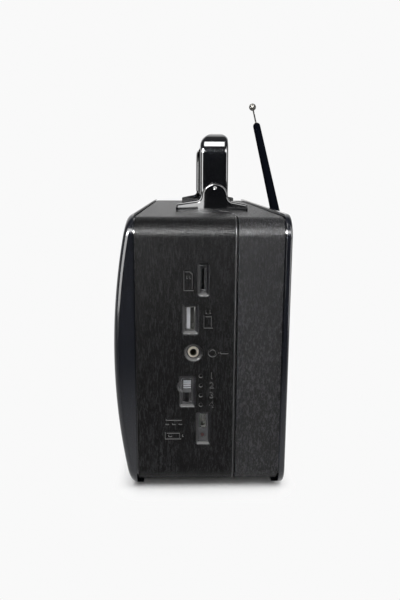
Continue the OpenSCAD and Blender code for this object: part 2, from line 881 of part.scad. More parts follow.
module tuning_shaft() {
    color(steel_c) place() rod_y(dial_x, dial_z, shaft_r, -knob_reach + 3.2, capacitor_y + 6);
}

module volume_shaft() {
    color(steel_c) place() rod_y(dial_x, volume_z, shaft_r, -volume_reach + 3.2, pot_y + 4);
}

// A mounting bush that fills the panel's hole around a shaft
module bush(z, y0, y1) {
    rod_y(dial_x, z, bush_r, y0, y1);
}

module tuning_capacitor() {
    color("#b9bcc0") place() difference() {
        union() {
            translate([dial_x - capacitor_w / 2, capacitor_y, dial_z - capacitor_w / 2])
                cube([capacitor_w, board_y - capacitor_y, capacitor_w]);
            bush(dial_z, dial_well_y, capacitor_y + 1);
        }
        rod_y(dial_x, dial_z, shaft_r + run, dial_well_y - 1, capacitor_y + 6.5);
    }
}

module volume_pot() {
    color("#8f9296") place() difference() {
        union() {
            rod_y(dial_x, volume_z, pot_r, pot_y, board_y);
            bush(volume_z, volume_well_y, pot_y + 1);
        }
        rod_y(dial_x, volume_z, shaft_r + run, volume_well_y - 1, pot_y + 4.5);
    }
}

switch_h = 3.6;

// A push button: a domed cap, a collar behind the panel and a stem to its switch
module push_button(i) {
    low = button_z - button_r;
    face = bow_at(low, panel_set) - button_out;
    collar = bow_at(button_z + button_r + 1.2, panel_set + panel_t) + clear / 2;
    stem_end = board_y - switch_h - button_travel - 0.15;
    color("#26282b") place() translate([button_x(i), 0, button_z]) rotate([-90, 0, 0]) {
        translate([0, 0, face + 0.8]) cylinder(r = button_r, h = collar + 1 - face - 0.8);
        translate([0, 0, face]) cylinder(r1 = button_r - 0.8, r2 = button_r, h = 0.8);
        translate([0, 0, collar]) cylinder(r = button_r + 1.1, h = 1.2);
        translate([0, 0, collar]) cylinder(r = 1.5, h = stem_end - collar);
    }
}

module button_1() {
    push_button(0);
}

module button_2() {
    push_button(1);
}

module button_3() {
    push_button(2);
}

module button_4() {
    push_button(3);
}

module button_switches() {
    color("#303236") place() for (i = [0 : button_count - 1]) {
        translate([button_x(i) - 3, board_y - switch_h + 0.6, button_z - 3]) cube([6, switch_h - 0.6, 6]);
        rod_y(button_x(i), button_z, 1.7, board_y - switch_h, board_y - switch_h + 1);
    }
}

module power_light() {
    color("#7fbf6a") place() {
        z = volume_z;
        rod_y(dial_x - 27, z, 1.5, bow_at(z, panel_set) - 0.3, 4);
        rod_y(dial_x - 27, z, 1.9, bow_at(z, panel_set + panel_t) + 0.6, board_y);
    }
}

module main_board() {
    color(board_c) place() slab_y(board_y, board_y + board_t) difference() {
        translate([dial_x - board_left, board_low])
            square([board_left + board_right, cab_h - board_low - board_high]);
        for (p = board_boss) translate([dial_x + p[0], dial_z + p[1]]) circle(small_screw_r + fit);
    }
}

module board_screws() {
    color(steel_c) place() for (p = board_boss)
        translate([dial_x + p[0], board_y + board_t, dial_z + p[1]]) 
            mirror([0, 1, 0]) pan_screw(2.2, 1.3, small_screw_r, board_screw_l);
}

module ferrite_rod() {
    color("#3b3a3c") place()
        rod_x(ferrite_y, ferrite_z, ferrite_r, ferrite_x - ferrite_l / 2, ferrite_x + ferrite_l / 2);
}

module aerial_coil() {
    color("#a8632e") place() difference() {
        rod_x(ferrite_y, ferrite_z, ferrite_r + 1.4, ferrite_x - 12, ferrite_x + 12);
        rod_x(ferrite_y, ferrite_z, ferrite_r + run, ferrite_x - 13, ferrite_x + 13);
    }
}

// ---- Side sockets ----

module side_board() {
    color(board_c) place()
        translate([inner_x - clear - side_board_w, side_board_y, side_board_z[0]])
            cube([side_board_w, side_board_t, side_board_z[1] - side_board_z[0]]);
}

// A thin metal box that is open towards +X
module socket_shell(y, z, w, h, t, length, r) {
    difference() {
        slab_x(socket_x - length, socket_x) translate([y, z]) rounded(w, h, r);
        slab_x(socket_x - length + t, socket_x + 1)
            translate([y, z]) rounded(w - 2 * t, h - 2 * t, r - t / 2);
    }
}

card_slot_l = 15;
card_w = 11.4;

module card_slot() {
    back = side_board_y + side_board_t;
    shell_w = card_w + 3.4;
    color(steel_c) place() difference() {
        translate([inner_x - clear - card_slot_l, back, card_port[1] - shell_w / 2])
            cube([card_slot_l, 2.4, shell_w]);
        translate([inner_x - clear - card_slot_l + 1, back + 0.6, card_port[1] - card_w / 2])
            cube([card_slot_l, 1.3, card_w]);
    }
}

usb_wall = 0.35;
usb_l = 14;
usb_tongue_l = 12.6;
usb_tongue_w = 11.6;

module usb_socket() {
    w = usb_cut[0] - 2 * fit;
    h = usb_cut[1] - 2 * fit;
    color(steel_c) place() {
        socket_shell(usb_port[0], usb_port[1], w, h, usb_wall, usb_l, 0.8);
        translate([socket_x - usb_l, usb_port[0] + w / 2 - 0.1, usb_port[1] - h / 2 + 1])
            cube([usb_l - 4, side_board_y - usb_port[0] - w / 2 + 0.1, h - 2]);
    }
}

module usb_tongue() {
    low = usb_port[0] - usb_cut[0] / 2 + fit + usb_wall;
    color("#d8d8d4") place()
        translate([socket_x - usb_l + usb_wall, low + 0.2, usb_port[1] - usb_tongue_w / 2])
            cube([usb_tongue_l, 1.9, usb_tongue_w]);
}

jack_l = 13;
jack_w = 10;

module aux_jack() {
    color("#c8b98a") place() difference() {
        union() {
            rod_x(aux_at[0], aux_at[1], aux_collar / 2, inner_x - 4, side_x - recess_d + 0.9);
            translate([inner_x - clear - jack_l, aux_at[0] - jack_w / 2, aux_at[1] - jack_w / 2])
                cube([jack_l, side_board_y - aux_at[0] + jack_w / 2, jack_w]);
        }
        rod_x(aux_at[0], aux_at[1], aux_bore / 2, inner_x - jack_l + 1, side_x + 1);
    }
}

slide_neck_w = 2.4;
switch_body_h = 19;
slide_room = switch_cut[1] + 0.5;

module band_switch() {
    y0 = switch_port[0] - 3.4;
    z = switch_port[1];
    color("#9ea2a6") place() difference() {
        translate([inner_x - clear - 8, y0, z - switch_body_h / 2])
            cube([8, side_board_y - y0, switch_body_h]);
        translate([inner_x - clear - 6, switch_port[0] - slide_neck_w / 2 - run, z - slide_room / 2])
            cube([7, slide_neck_w + 2 * run, slide_room]);
    }
}

// Ribbed thumb piece, its plate in the slot and its neck in the switch
module band_slider() {
    face = side_x - 0.7;
    color("#6f7276") place() difference() {
        union() {
            slab_x(inner_x + clear, face) translate([switch_port[0], slider_z])
                rounded(slider_w, slider_h, 0.4);
            slab_x(inner_x - clear - 5, inner_x + 1) translate([switch_port[0], slider_z])
                square([slide_neck_w, 2.4], center = true);
        }
        for (i = [-2 : 2])
            translate([face - 0.5, switch_port[0] - 5, slider_z + i * 1.2 - 0.25]) cube([1, 10, 0.5]);
    }
}

module charge_socket() {
    w = 2.9;
    y = side_board_y + side_board_t + w / 2 + 0.1;
    color(steel_c) place() {
        difference() {
            slab_x(socket_x - 6, socket_x) translate([y, charge_z]) rounded(w, 7.6, 0.6);
            slab_x(socket_x - 5.7, socket_x + 1) translate([y, charge_z])
                polygon([[-1.1, 3.4], [1.1, 2.4], [1.1, -2.4], [-1.1, -3.4]]);
        }
        slab_x(socket_x - 5.6, socket_x - 1.2)
            translate([y + 0.3, charge_z]) square([0.5, 4.4], center = true);
        slab_x(socket_x - 6.3, socket_x - 6) translate([y, charge_z]) square([w, 7], center = true);
    }
}

module charge_light() {
    color("#c8483c") place() rod_x(light_at[0], light_at[1], light_r, socket_x - 6, socket_x + 0.1);
}

// ---- Rear panel and battery ----

module rear_panel() {
    front = rear_panel_y - rear_panel_t;
    color(black_c) place() difference() {
        union() {
            slab_y(front, rear_panel_y) rim_opening(-fit);
            slab_y(rear_flange_y + flange_t, front + 0.2) difference() {
                rim_opening(-fit);
                rim_opening(-fit - 2);
            }
            at_posts() rod_y(0, 0, post_r, rear_flange_y + flange_t, rear_panel_y);
            battery_bay();
            rod_y(aerial_x, aerial_z, base_r - 0.5, front - 2.5, rear_panel_y);
            for (x = [-12, 0, 12]) translate([x - 4, front - 1, cell_z + door_h / 2 + 1]) cube([8, 1.2, 4]);
        }
        at_posts() {
            rod_y(0, 0, screw_r + fit, rear_flange_y, rear_face_y);
            rod_y(0, 0, screw_head_r + fit, rear_panel_y - 1.6, rear_face_y);
        }
        slab_y(bay_y, rear_panel_y + 1) translate([0, cell_z]) square([bay_w, bay_h], center = true);
        slab_y(front - 0.2, rear_panel_y + 1) translate([0, cell_z])
            square([door_w + 2 * clear, door_h + 2 * clear], center = true);
        rod_x(door_hinge_y, door_hinge_z, door_pin_r + run,
            -door_w / 2 - door_pin_l - clear, door_w / 2 + door_pin_l + clear);
        translate([-8, rear_panel_y - 1, cell_z + door_h / 2 - 0.5]) cube([16, 2, 5]);
        rod_y(aerial_x, aerial_z, journal_r + clear, front - 4, rear_face_y);
        vents();
    }
}

// A tray moulded into the rear panel that holds the cell
module battery_bay() {
    slab_y(bay_y - bay_t, rear_panel_y - rear_panel_t + 0.1) translate([0, cell_z])
        square([bay_w + 2 * bay_t, bay_h + 2 * bay_t], center = true);
    slab_y(rear_panel_y - rear_panel_t - 0.1, rear_panel_y) translate([0, cell_z])
        square([door_w + 8, door_h + 5], center = true);
}

// A row of slots behind the loudspeaker
module vents() {
    vent_w = 3;
    vent_h = 42;
    for (i = [-5 : 5]) slab_y(rear_panel_y - 3, rear_panel_y + 1)
        translate([grille_x + i * 7, mid_z + 12]) rounded(vent_w, vent_h, vent_w / 2 - 0.01);
}

module battery_door() {
    top = cell_z + door_h / 2;
    color("#1b1c1f") place() {
        slab_x(-door_w / 2, door_w / 2) {
            translate([door_hinge_y, door_hinge_z]) circle(door_t / 2);
            translate([rear_panel_y - door_t, door_hinge_z]) square([door_t, top - door_hinge_z]);
        }
        rod_x(door_hinge_y, door_hinge_z, door_pin_r, -door_w / 2 - door_pin_l, door_w / 2 + door_pin_l);
        translate([-6, rear_panel_y - 0.9, top - 0.1]) cube([12, 0.9, 1.6]);
    }
}

module battery_cell() {
    color("#4d6f8a") place() {
        rod_x(cell_y, cell_z, cell_r, -cell_l / 2, cell_l / 2 - 1.5);
        rod_x(cell_y, cell_z, 2.8, cell_l / 2 - 1.6, cell_l / 2);
    }
}

contact_w = 12;

// A sprung plate at one end of the bay and a flat one at the other
module battery_contacts() {
    color(steel_c) place() {
        translate([bay_w / 2 - 0.6, cell_y - contact_w / 2, cell_z - contact_w / 2])
            cube([0.5, contact_w, contact_w]);
        rod_x(cell_y, cell_z, 3.5, cell_l / 2 + 0.1, bay_w / 2 - 0.5);
        translate([-bay_w / 2 + 0.1, cell_y - contact_w / 2, cell_z - contact_w / 2])
            cube([0.5, contact_w, contact_w]);
        contact_spring();
    }
}

// Coils of the spring, drawn as a stack of rings that narrows towards the cell
module contact_spring() {
    wire = 0.5;
    turns = 4;
    space = (bay_w - cell_l) / 2 - 0.6 - 2 * wire - fit;
    for (i = [0 : turns - 1])
        translate([-bay_w / 2 + 0.6 + wire * 0.9 + i * space / (turns - 1), cell_y, cell_z])
        rotate([0, 90, 0]) rotate_extrude() translate([5 - i * 0.5, 0]) circle(wire, $fn = 16);
}

rear_screw_l = 16;

module rear_screws() {
    color(steel_c) place() at_posts() translate([0, rear_panel_y - 1.6, 0]) mirror([0, 1, 0]) difference() {
        pan_screw(screw_head_r, 1.5, screw_r, rear_screw_l);
        translate([0, -1.8, 0]) rotate([-90, 0, 0]) for (a = [0, 90]) rotate(a)
            translate([-1.7, -0.3, 0]) cube([3.4, 0.6, 1.3]);
    }
}

// ---- Handle ----

// Section of the strap: x is its thickness, outwards, and y its width
module strap_section() {
    translate([strap_t / 2, 0]) rounded(strap_t, strap_w, strap_corner);
}

// Side view of the strap about its pivot, rounder in front than behind at the top
module strap_side() {
    top = handle_h - pivot_h;
    difference() {
        translate([0, (top - strap_end) / 2]) rounded(strap_w, top + strap_end, strap_back_r);
        translate([-strap_w / 2 - 1, top - strap_front_r]) difference() {
            square(strap_front_r + 1);
            translate([strap_front_r + 1, 0]) circle(strap_front_r);
        }
    }
}

module handle_strap() {
    bend_z = handle_h - pivot_h - strap_t - bend_r;
    bend_x = strap_x - bend_r;
    color(chrome_c) place() translate([0, handle_y, cab_h + pivot_h]) difference() {
        intersection() {
            union() {
                for (side = [0, 1]) mirror([side, 0, 0]) {
                    translate([strap_x, 0, -strap_end]) linear_extrude(bend_z + strap_end) strap_section();
                    translate([bend_x, 0, bend_z]) rotate([90, 0, 0])
                        rotate_extrude(angle = 90, $fn = 96) translate([bend_r, 0]) strap_section();
                }
                slab_x(-bend_x, bend_x) translate([0, bend_z + bend_r]) rotate(90) strap_section();
            }
            slab_x(-cab_w / 2, cab_w / 2) strap_side();
        }
        rod_x(0, 0, pivot_r + run, -cab_w / 2, cab_w / 2);
    }
}

// Bell-shaped side view of a bracket, standing on the cabinet's top
module bracket_shape() {
    long = bracket_l / 2 + bracket_shift;
    short = bracket_l / 2 - bracket_shift;
    polygon([[-long, 0], [-long, toe_z], [-shoulder_w, shoulder_z],
        [shoulder_w, shoulder_z], [short, toe_z], [short, 0]]);
    translate([0, dome_z]) circle(dome_r);
    translate([-dome_r, 0]) square([2 * dome_r, dome_z]);
    shoulder_fillets();
}

// Concave fillets where the dome runs out into the foot
module shoulder_fillets() {
    r = 3;
    for (side = [0, 1]) mirror([side, 0]) difference() {
        translate([dome_r - 0.1, 0]) square([r, shoulder_z - 0.2 + r]);
        translate([dome_r + r, shoulder_z - 0.4 + r]) circle(r);
        translate([dome_r + r - 0.2, shoulder_z]) square(3 * r);
    }
}

module handle_bracket() {
    difference() {
        intersection() {
            slab_x(0, bracket_t + 1) bracket_shape();
            translate([bracket_t - bracket_r, -bracket_shift, -1])
                cylinder(r = bracket_r, h = cab_h, $fn = 180);
        }
        rod_x(0, pivot_h, pivot_r + run / 2, -1, bracket_t - pivot_cover);
        rod_x(0, pivot_h, pivot_tip_r + run / 2, -1, bracket_t + 1);
    }
}

// Both ends of the handle: the second is the first turned half round
module at_handle_ends() {
    translate([0, handle_y, 0]) for (end = [0, 1]) rotate(180 * end) translate([bracket_x, 0, 0])
        children();
}

module handle_brackets() {
    color(chrome_c) place() difference() {
        translate([0, 0, cab_h]) at_handle_ends() handle_bracket();
        translate([-cab_w / 2, seam_y - seam_gap / 2 - bead_w - clear, cab_h - 1])
            cube([cab_w, bead_w + 2 * clear, 1 + bead_h + clear]);
        at_bracket_screws() translate([0, 0, cab_h - 1]) cylinder(r = pilot_r, h = 4.6);
    }
}

// Shoulder pins with a flat head on the inside of the strap and a thin end that shows outside
module handle_pivots() {
    color(steel_c) place() translate([0, 0, cab_h]) at_handle_ends() {
        rod_x(0, pivot_h, pivot_r, -strap_gap - strap_t - clear, bracket_t - pivot_cover - 0.2);
        rod_x(0, pivot_h, pivot_tip_r, 0, bracket_t);
        rod_x(0, pivot_h, pivot_r + 1.6, -strap_gap - strap_t - clear - 1.2, -strap_gap - strap_t - clear);
    }
}

module at_bracket_screws() {
    for (side = [-1, 1], y = bracket_screw_y)
        translate([side * (bracket_x + bracket_screw_x), handle_y + y, 0]) children();
}

module bracket_screw_holes(r) {
    at_bracket_screws() translate([0, 0, cab_h - shell_in - 1]) cylinder(r = r, h = shell_in + 2);
}

module bracket_screws() {
    color(steel_c) place() at_bracket_screws() translate([0, 0, cab_h - shell_in]) {
        cylinder(r = screw_r, h = shell_in + 3.4);
        translate([0, 0, -1.4]) cylinder(r = screw_head_r, h = 1.4);
    }
}

// ---- Aerial ----

// The aerial's own frame: z along the tube and x along its elbow pin
module aerial_frame() {
    place() translate([aerial_x, aerial_y, aerial_z]) rotate([0, aerial_lean, 0]) children();
}

aerial_panel_y = rear_panel_y - aerial_y;

module aerial_base() {
    color(chrome_c) aerial_frame() difference() {
        rod_y(0, 0, base_r, aerial_panel_y, aerial_panel_y + base_t);
        rod_y(0, 0, journal_r + run, aerial_panel_y - 1, aerial_panel_y + base_t + 1);
    }
}

// Fork on a journal that turns in the rear panel, held by a washer inside
module aerial_swivel() {
    disc_y = aerial_panel_y + base_t + 0.15;
    inner_y = aerial_panel_y - rear_panel_t - 2.5 - 0.2;
    color(chrome_c) aerial_frame() difference() {
        union() {
            rod_y(0, 0, swivel_r, disc_y, disc_y + swivel_t);
            rod_y(0, 0, journal_r, inner_y - 1.2, disc_y + 0.2);
            rod_y(0, 0, journal_r + 1.8, inner_y - 1.2, inner_y);
            for (side = [0, 1]) mirror([side, 0, 0]) slab_x(fork_gap, fork_gap + fork_t) {
                circle(fork_r);
                translate([disc_y + 0.2, -fork_r]) square([-disc_y - 0.2, 2 * fork_r]);
            }
        }
        rod_x(0, 0, aerial_pin_r + 0.02, -9, 9);
    }
}

module aerial_pin() {
    half = fork_gap + fork_t;
    color(steel_c) aerial_frame() rod_x(0, 0, aerial_pin_r, -half, half);
}

module aerial_tube() {
    color("#101113") aerial_frame() difference() {
        union() {
            slab_x(-1.5, 1.5) {
                circle(tang_r);
                translate([-tang_r, 0]) square([2 * tang_r, tube_start + 1]);
            }
            translate([0, 0, tube_start]) cylinder(r = aerial_r, h = aerial_l - tube_start);
        }
        rod_x(0, 0, aerial_pin_r + run, -9, 9);
        translate([0, 0, tube_floor - 1.5])
            cylinder(r = bore_r(0), h = aerial_l - mouth_l - tube_floor + 1.5);
        cylinder_mouth(0);
    }
}

module cylinder_mouth(i) {
    translate([0, 0, section_top(i) - mouth_l - 1]) cylinder(r = mouth_r(i), h = mouth_l + 2);
}

// A hollow section with a collar at its foot, which stops it at the next mouth
module aerial_section(i) {
    foot = section_foot(i);
    top = section_top(i);
    color(steel_c) aerial_frame() difference() {
        union() {
            translate([0, 0, foot]) cylinder(r = section_r[i], h = top - foot);
            translate([0, 0, foot]) cylinder(r = bore_r(i - 1) - run, h = collar_l);
        }
        translate([0, 0, foot + 1]) cylinder(r = bore_r(i), h = top - mouth_l - foot - 1);
        cylinder_mouth(i);
    }
}

module aerial_section_2() {
    aerial_section(1);
}

module aerial_section_3() {
    aerial_section(2);
}

module aerial_section_4() {
    aerial_section(3);
}

module aerial_tip() {
    foot = section_foot(4);
    top = section_top(3) + tip_rod;
    color(steel_c) aerial_frame() {
        translate([0, 0, foot]) cylinder(r = section_r[4], h = top - foot + tip_r / 2);
        translate([0, 0, foot]) cylinder(r = bore_r(3) - run, h = collar_l);
        translate([0, 0, top + tip_r]) sphere(tip_r);
    }
}

front_leather();
front_shell();
rear_leather();
rear_shell();
front_rim();
rear_rim();
control_panel();
grille_trim();
speaker_grille();
grille_cloth();
baffle_board();
speaker_frame();
speaker_cone();
speaker_magnet();
speaker_screws();
baffle_screws();
tuning_dial();
dial_ring();
tuning_knob();
tuning_shaft();
tuning_capacitor();
volume_knob();
volume_shaft();
volume_pot();
button_1();
button_2();
button_3();
button_4();
button_switches();
power_light();
main_board();
board_screws();
ferrite_rod();
aerial_coil();
side_board();
card_slot();
usb_socket();
usb_tongue();
aux_jack();
band_switch();
band_slider();
charge_socket();
charge_light();
rear_panel();
rear_screws();
battery_cell();
battery_contacts();
battery_door();
handle_strap();
handle_brackets();
handle_pivots();
bracket_screws();
aerial_base();
aerial_swivel();
aerial_pin();
aerial_tube();
aerial_section_2();
aerial_section_3();
aerial_section_4();
aerial_tip();
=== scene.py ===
"""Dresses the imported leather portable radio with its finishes, smooth covers, lights and camera.

Sizes in the classes are millimetres in the cabinet's own frame: x from the middle of the cabinet,
y back from the front groove and z up from the cabinet's underside. Datum turns them into metres.
"""
import itertools
import json
import logging
import math
from dataclasses import dataclass, field, replace
from enum import Enum
from typing import Any, ClassVar, Optional, Sequence, Union

import bmesh
import bpy
from bmesh.types import BMEdge, BMesh, BMFace, BMVert
from mathutils import Matrix, Vector


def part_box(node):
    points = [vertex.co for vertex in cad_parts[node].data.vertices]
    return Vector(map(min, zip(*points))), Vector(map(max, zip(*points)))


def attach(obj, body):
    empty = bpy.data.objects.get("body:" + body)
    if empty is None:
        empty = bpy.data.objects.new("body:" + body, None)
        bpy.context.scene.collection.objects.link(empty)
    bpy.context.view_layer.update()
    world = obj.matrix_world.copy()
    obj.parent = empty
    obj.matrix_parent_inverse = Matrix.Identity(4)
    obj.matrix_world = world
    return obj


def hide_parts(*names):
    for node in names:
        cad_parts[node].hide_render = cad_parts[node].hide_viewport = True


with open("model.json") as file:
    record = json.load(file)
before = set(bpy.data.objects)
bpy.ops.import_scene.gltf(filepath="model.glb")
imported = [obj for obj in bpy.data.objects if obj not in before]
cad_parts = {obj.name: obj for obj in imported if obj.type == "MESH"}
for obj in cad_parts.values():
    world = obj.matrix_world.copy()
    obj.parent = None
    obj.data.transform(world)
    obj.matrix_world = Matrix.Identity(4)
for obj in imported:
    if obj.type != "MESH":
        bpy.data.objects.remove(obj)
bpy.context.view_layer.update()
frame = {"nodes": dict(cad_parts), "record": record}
LOG = logging.getLogger("radio")
# Metres in a millimetre, and the millimetres within which two points are one
MM = 0.001
SAME = 1e-4
Pair = tuple[float, float]
Triple = tuple[float, float, float]
Quad = tuple[float, float, float, float]
Colour = Triple


# ---------------------------------------------------------------- shader values and graphs


class Value:
    """A value in a shader, with Python's arithmetic on it."""

    def __init__(self, graph: "Graph", socket: bpy.types.NodeSocket) -> None:
        """Wraps a socket of a graph."""
        self.graph = graph
        self.socket = socket

    def __add__(self, other: "Term") -> "Value":
        """Sum of two values."""
        return self.graph.math("ADD", self, other)

    def __sub__(self, other: "Term") -> "Value":
        """Difference of two values."""
        return self.graph.math("SUBTRACT", self, other)

    def __rsub__(self, other: "Term") -> "Value":
        """Difference of a number and this value."""
        return self.graph.math("SUBTRACT", other, self)

    def __mul__(self, other: "Term") -> "Value":
        """Product of two values."""
        return self.graph.math("MULTIPLY", self, other)

    def __pow__(self, other: "Term") -> "Value":
        """This value raised to a power."""
        return self.graph.math("POWER", self, other)

    __radd__ = __add__
    __rmul__ = __mul__


Term = Union[Value, float, int]


class Graph:
    """Builds the nodes of one material."""

    def __init__(self, tree: bpy.types.NodeTree) -> None:
        """Takes the node tree to build in."""
        self.tree = tree

    def node(self, kind: str, settings: Optional[dict[str, Any]] = None,
             sockets: Optional[dict[Any, Any]] = None) -> bpy.types.Node:
        """Adds one node.

        Args:
            kind: The node's type without its ShaderNode prefix.
            settings: Properties, such as a Math node's operation.
            sockets: Input values or Values by name or number.

        Returns:
            The new node.
        """
        made = self.tree.nodes.new("ShaderNode" + kind)
        for name, setting in (settings or {}).items():
            setattr(made, name, setting)
        for name, value in (sockets or {}).items():
            self.feed(made.inputs[name], value)
        return made

    def feed(self, socket: bpy.types.NodeSocket, value: Any) -> None:
        """Links a Value to an input, or writes a plain value on it.

        Args:
            socket: The input.
            value: The Value or plain value, or None to leave the input alone.
        """
        if isinstance(value, Value):
            self.tree.links.new(value.socket, socket)
        elif value is not None:
            socket.default_value = value

    def out(self, made: bpy.types.Node, name: Union[str, int] = 0) -> Value:
        """An output of a node as a Value."""
        return Value(self, made.outputs[name])

    def math(self, operation: str, *terms: Term) -> Value:
        """A Math node on some terms."""
        return self.out(self.node("Math", {"operation": operation}, dict(enumerate(terms))))

    def place(self, stretch: Triple = (1.0, 1.0, 1.0), centre: Triple = (0.0, 0.0, 0.0)) -> Value:
        """Object coordinates about a centre, scaled along each axis.

        Args:
            stretch: How much finer the pattern is along x, y and z.
            centre: The point in metres that becomes zero.

        Returns:
            The coordinates.
        """
        where = self.out(self.node("TexCoord"), "Object")
        moved = self.node("VectorMath", {"operation": "SUBTRACT"}, {0: where, 1: centre})
        return self.out(self.node("VectorMath", {"operation": "MULTIPLY"},
                                  {0: self.out(moved), 1: stretch}))

    def noise(self, scale: float, detail: float = 3.0, rough: float = 0.55,
              vector: Optional[Value] = None, warp: float = 0.0) -> Value:
        """Noise whose features are about one unit over its scale across, in metres.

        Args:
            scale: How fine it is.
            detail: How many finer layers it has.
            rough: How strong those layers are.
            vector: Where it is looked up, if not at the plain place.
            warp: How far it is distorted.

        Returns:
            The noise, between 0 and 1.
        """
        made = self.node("TexNoise", {}, {"Vector": vector or self.place(), "Scale": scale,
                                          "Detail": detail, "Roughness": rough, "Distortion": warp})
        return self.out(made, "Fac")

    def cells(self, scale: float, vector: Optional[Value] = None,
              feature: str = "DISTANCE_TO_EDGE") -> Value:
        """Distance to the borders, or to the middles, of irregular cells.

        Args:
            scale: How many cells there are to a metre.
            vector: Where it is looked up, if not at the plain place.
            feature: What is measured: DISTANCE_TO_EDGE, or F1 for the middle.

        Returns:
            The distance.
        """
        made = self.node("TexVoronoi", {"feature": feature},
                         {"Vector": vector or self.place(), "Scale": scale})
        return self.out(made, "Distance")

    def between(self, value: Value, low: float, high: float,
                to_low: float = 0.0, to_high: float = 1.0) -> Value:
        """A smooth step of a value between two edges.

        Args:
            value: The value.
            low: The edge where the step starts.
            high: The edge where it ends.
            to_low: The result at the low edge.
            to_high: The result at the high edge.

        Returns:
            The result.
        """
        made = self.node("MapRange", {"interpolation_type": "SMOOTHSTEP"},
                         {"Value": value, "From Min": low, "From Max": high,
                          "To Min": to_low, "To Max": to_high})
        return self.out(made)

    def blend(self, first: Any, second: Any, factor: Term) -> Value:
        """Mixes two colours by a factor.

        Args:
            first: The colour where the factor is 0.
            second: The colour where it is 1.
            factor: The factor.

        Returns:
            The mixed colour.
        """
        def full(colour: Any) -> Any:
            """Adds the alpha that a plain colour lacks."""
            return colour if isinstance(colour, Value) else (*colour, 1.0)
        made = self.node("Mix", {"data_type": "RGBA"}, {0: factor, 6: full(first), 7: full(second)})
        return self.out(made, 2)

    def part(self, vector: Value, axis: str) -> Value:
        """One part of a vector."""
        return self.out(self.node("SeparateXYZ", {}, {0: vector}), axis)

    def length(self, vector: Value) -> Value:
        """The length of a vector."""
        return self.out(self.node("VectorMath", {"operation": "LENGTH"}, {0: vector}), "Value")

    def turned(self, radius: Value) -> Value:
        """Fine rings, as a lathe leaves them, at a distance from their axis."""
        return self.noise(5200, 3.0, 0.7, self.out(self.node("CombineXYZ", {}, {0: radius})))

    def bump(self, height: Term, distance: float, under: Optional[Value] = None) -> Value:
        """A bump of a height between 0 and 1 that stands for a distance in metres."""
        return self.out(self.node("Bump", {}, {"Strength": 1.0, "Distance": distance,
                                               "Height": height, "Normal": under}))

    def soft_edges(self, radius: float) -> Value:
        """Normals that round the sharp edges."""
        return self.out(self.node("Bevel", {"samples": 4}, {"Radius": radius}))


# ---------------------------------------------------------------- finishes


@dataclass(frozen=True)
class Finish:
    """A plain moulded finish: fine specks in colour, gloss and surface."""

    name: str
    colour: Colour
    roughness: float = 0.4
    metal: float = 0.0
    specular: float = 0.5
    coat: float = 0.0
    edge: float = 0.0
    grain: float = 0.5
    relief: float = 0.00002
    variation: float = 0.25
    made: ClassVar[dict[str, bpy.types.Material]] = {}

    def material(self) -> bpy.types.Material:
        """The finish's material, made once.

        Returns:
            The material.
        """
        if self.name not in Finish.made:
            material = bpy.data.materials.new(self.name)
            material.use_nodes = True
            shader = material.node_tree.nodes["Principled BSDF"]
            graph = Graph(material.node_tree)
            for socket, value in {"Metallic": self.metal, "Specular IOR Level": self.specular,
                                  "Coat Weight": self.coat, "Coat Roughness": 0.05,
                                  "Roughness": self.roughness,
                                  "Base Color": (*self.colour, 1.0)}.items():
                shader.inputs[socket].default_value = value
            self.paint(graph, shader.inputs)
            Finish.made[self.name] = material
        return Finish.made[self.name]

    def ground(self, graph: Graph) -> Optional[Value]:
        """Normals before any bump, with rounded edges where the finish asks for them."""
        return graph.soft_edges(self.edge) if self.edge else None

    def shades(self, graph: Graph, factor: Term) -> Value:
        """The colour, darker and lighter by the finish's variation.

        Args:
            graph: The material's graph.
            factor: 0 where it is darkest and 1 where it is lightest.

        Returns:
            The colour.
        """
        dark = tuple(part * (1 - self.variation) for part in self.colour)
        light = tuple(min(1.0, part * (1 + self.variation)) for part in self.colour)
        return graph.blend(dark, light, factor)

    def lay(self, graph: Graph, shader: Any, colour: Value, roughness: Term, height: Term) -> None:
        """Feeds a pattern to the shader.

        Args:
            graph: The material's graph.
            shader: The inputs of its shader.
            colour: The pattern's colour.
            roughness: Its roughness.
            height: Its height between 0 and 1, of which the relief is the full one.
        """
        graph.feed(shader["Base Color"], colour)
        graph.feed(shader["Roughness"], roughness)
        graph.feed(shader["Normal"], graph.bump(height, self.relief, self.ground(graph)))

    def paint(self, graph: Graph, shader: Any) -> None:
        """Builds the finish's pattern.

        Args:
            graph: The material's graph.
            shader: The inputs of its shader.
        """
        fine = graph.noise(1000 / self.grain, 2.0)
        broad = graph.noise(60, 3.0)
        self.lay(graph, shader, self.shades(graph, 0.5 * fine + 0.5 * broad),
                 self.roughness * (0.75 + 0.3 * fine + 0.2 * broad), fine)


@dataclass(frozen=True)
class PaintedLitFaces(Finish):
    """Black plastic with painted light: a pale colour on the faces that look up and back along y, as
    far as each face's stored share asks for it.
    """

    # The pale colour that is painted on as light.
    haze: Colour = (0.2, 0.2, 0.196)

    def paint(self, graph: Graph, shader: Any) -> None:
        """Builds the specks and the painted light.

        Args:
            graph: The material's graph.
            shader: The inputs of its shader.
        """
        super().paint(graph, shader)
        fine = graph.noise(1400, 3.0)
        # Painted light: faces that look up and back along y turn towards the pale colour, standing in
        # for light from above and behind.
        painted_light_share = graph.out(graph.node("Attribute", {"attribute_name": "painted_light_share"}), "Fac")
        graph.feed(shader["Base Color"],
                   graph.blend(self.shades(graph, fine), self.haze, painted_light_share * (0.8 + 0.4 * fine)))

    @staticmethod
    def mark(bm: BMesh, up: float, across: float) -> None:
        """Gives faces their shares of painted light, by how far they look up and back along y.

        Args:
            bm: The mesh.
            up: The share of painted light on a face that looks up.
            across: The share of painted light on a face that looks back along y.
        """
        bmesh.ops.recalc_face_normals(bm, faces=bm.faces)
        layer = bm.faces.layers.float.new("painted_light_share")
        for face in bm.faces:
            face[layer] = up * max(0.0, face.normal.z) + across * max(0.0, face.normal.y)


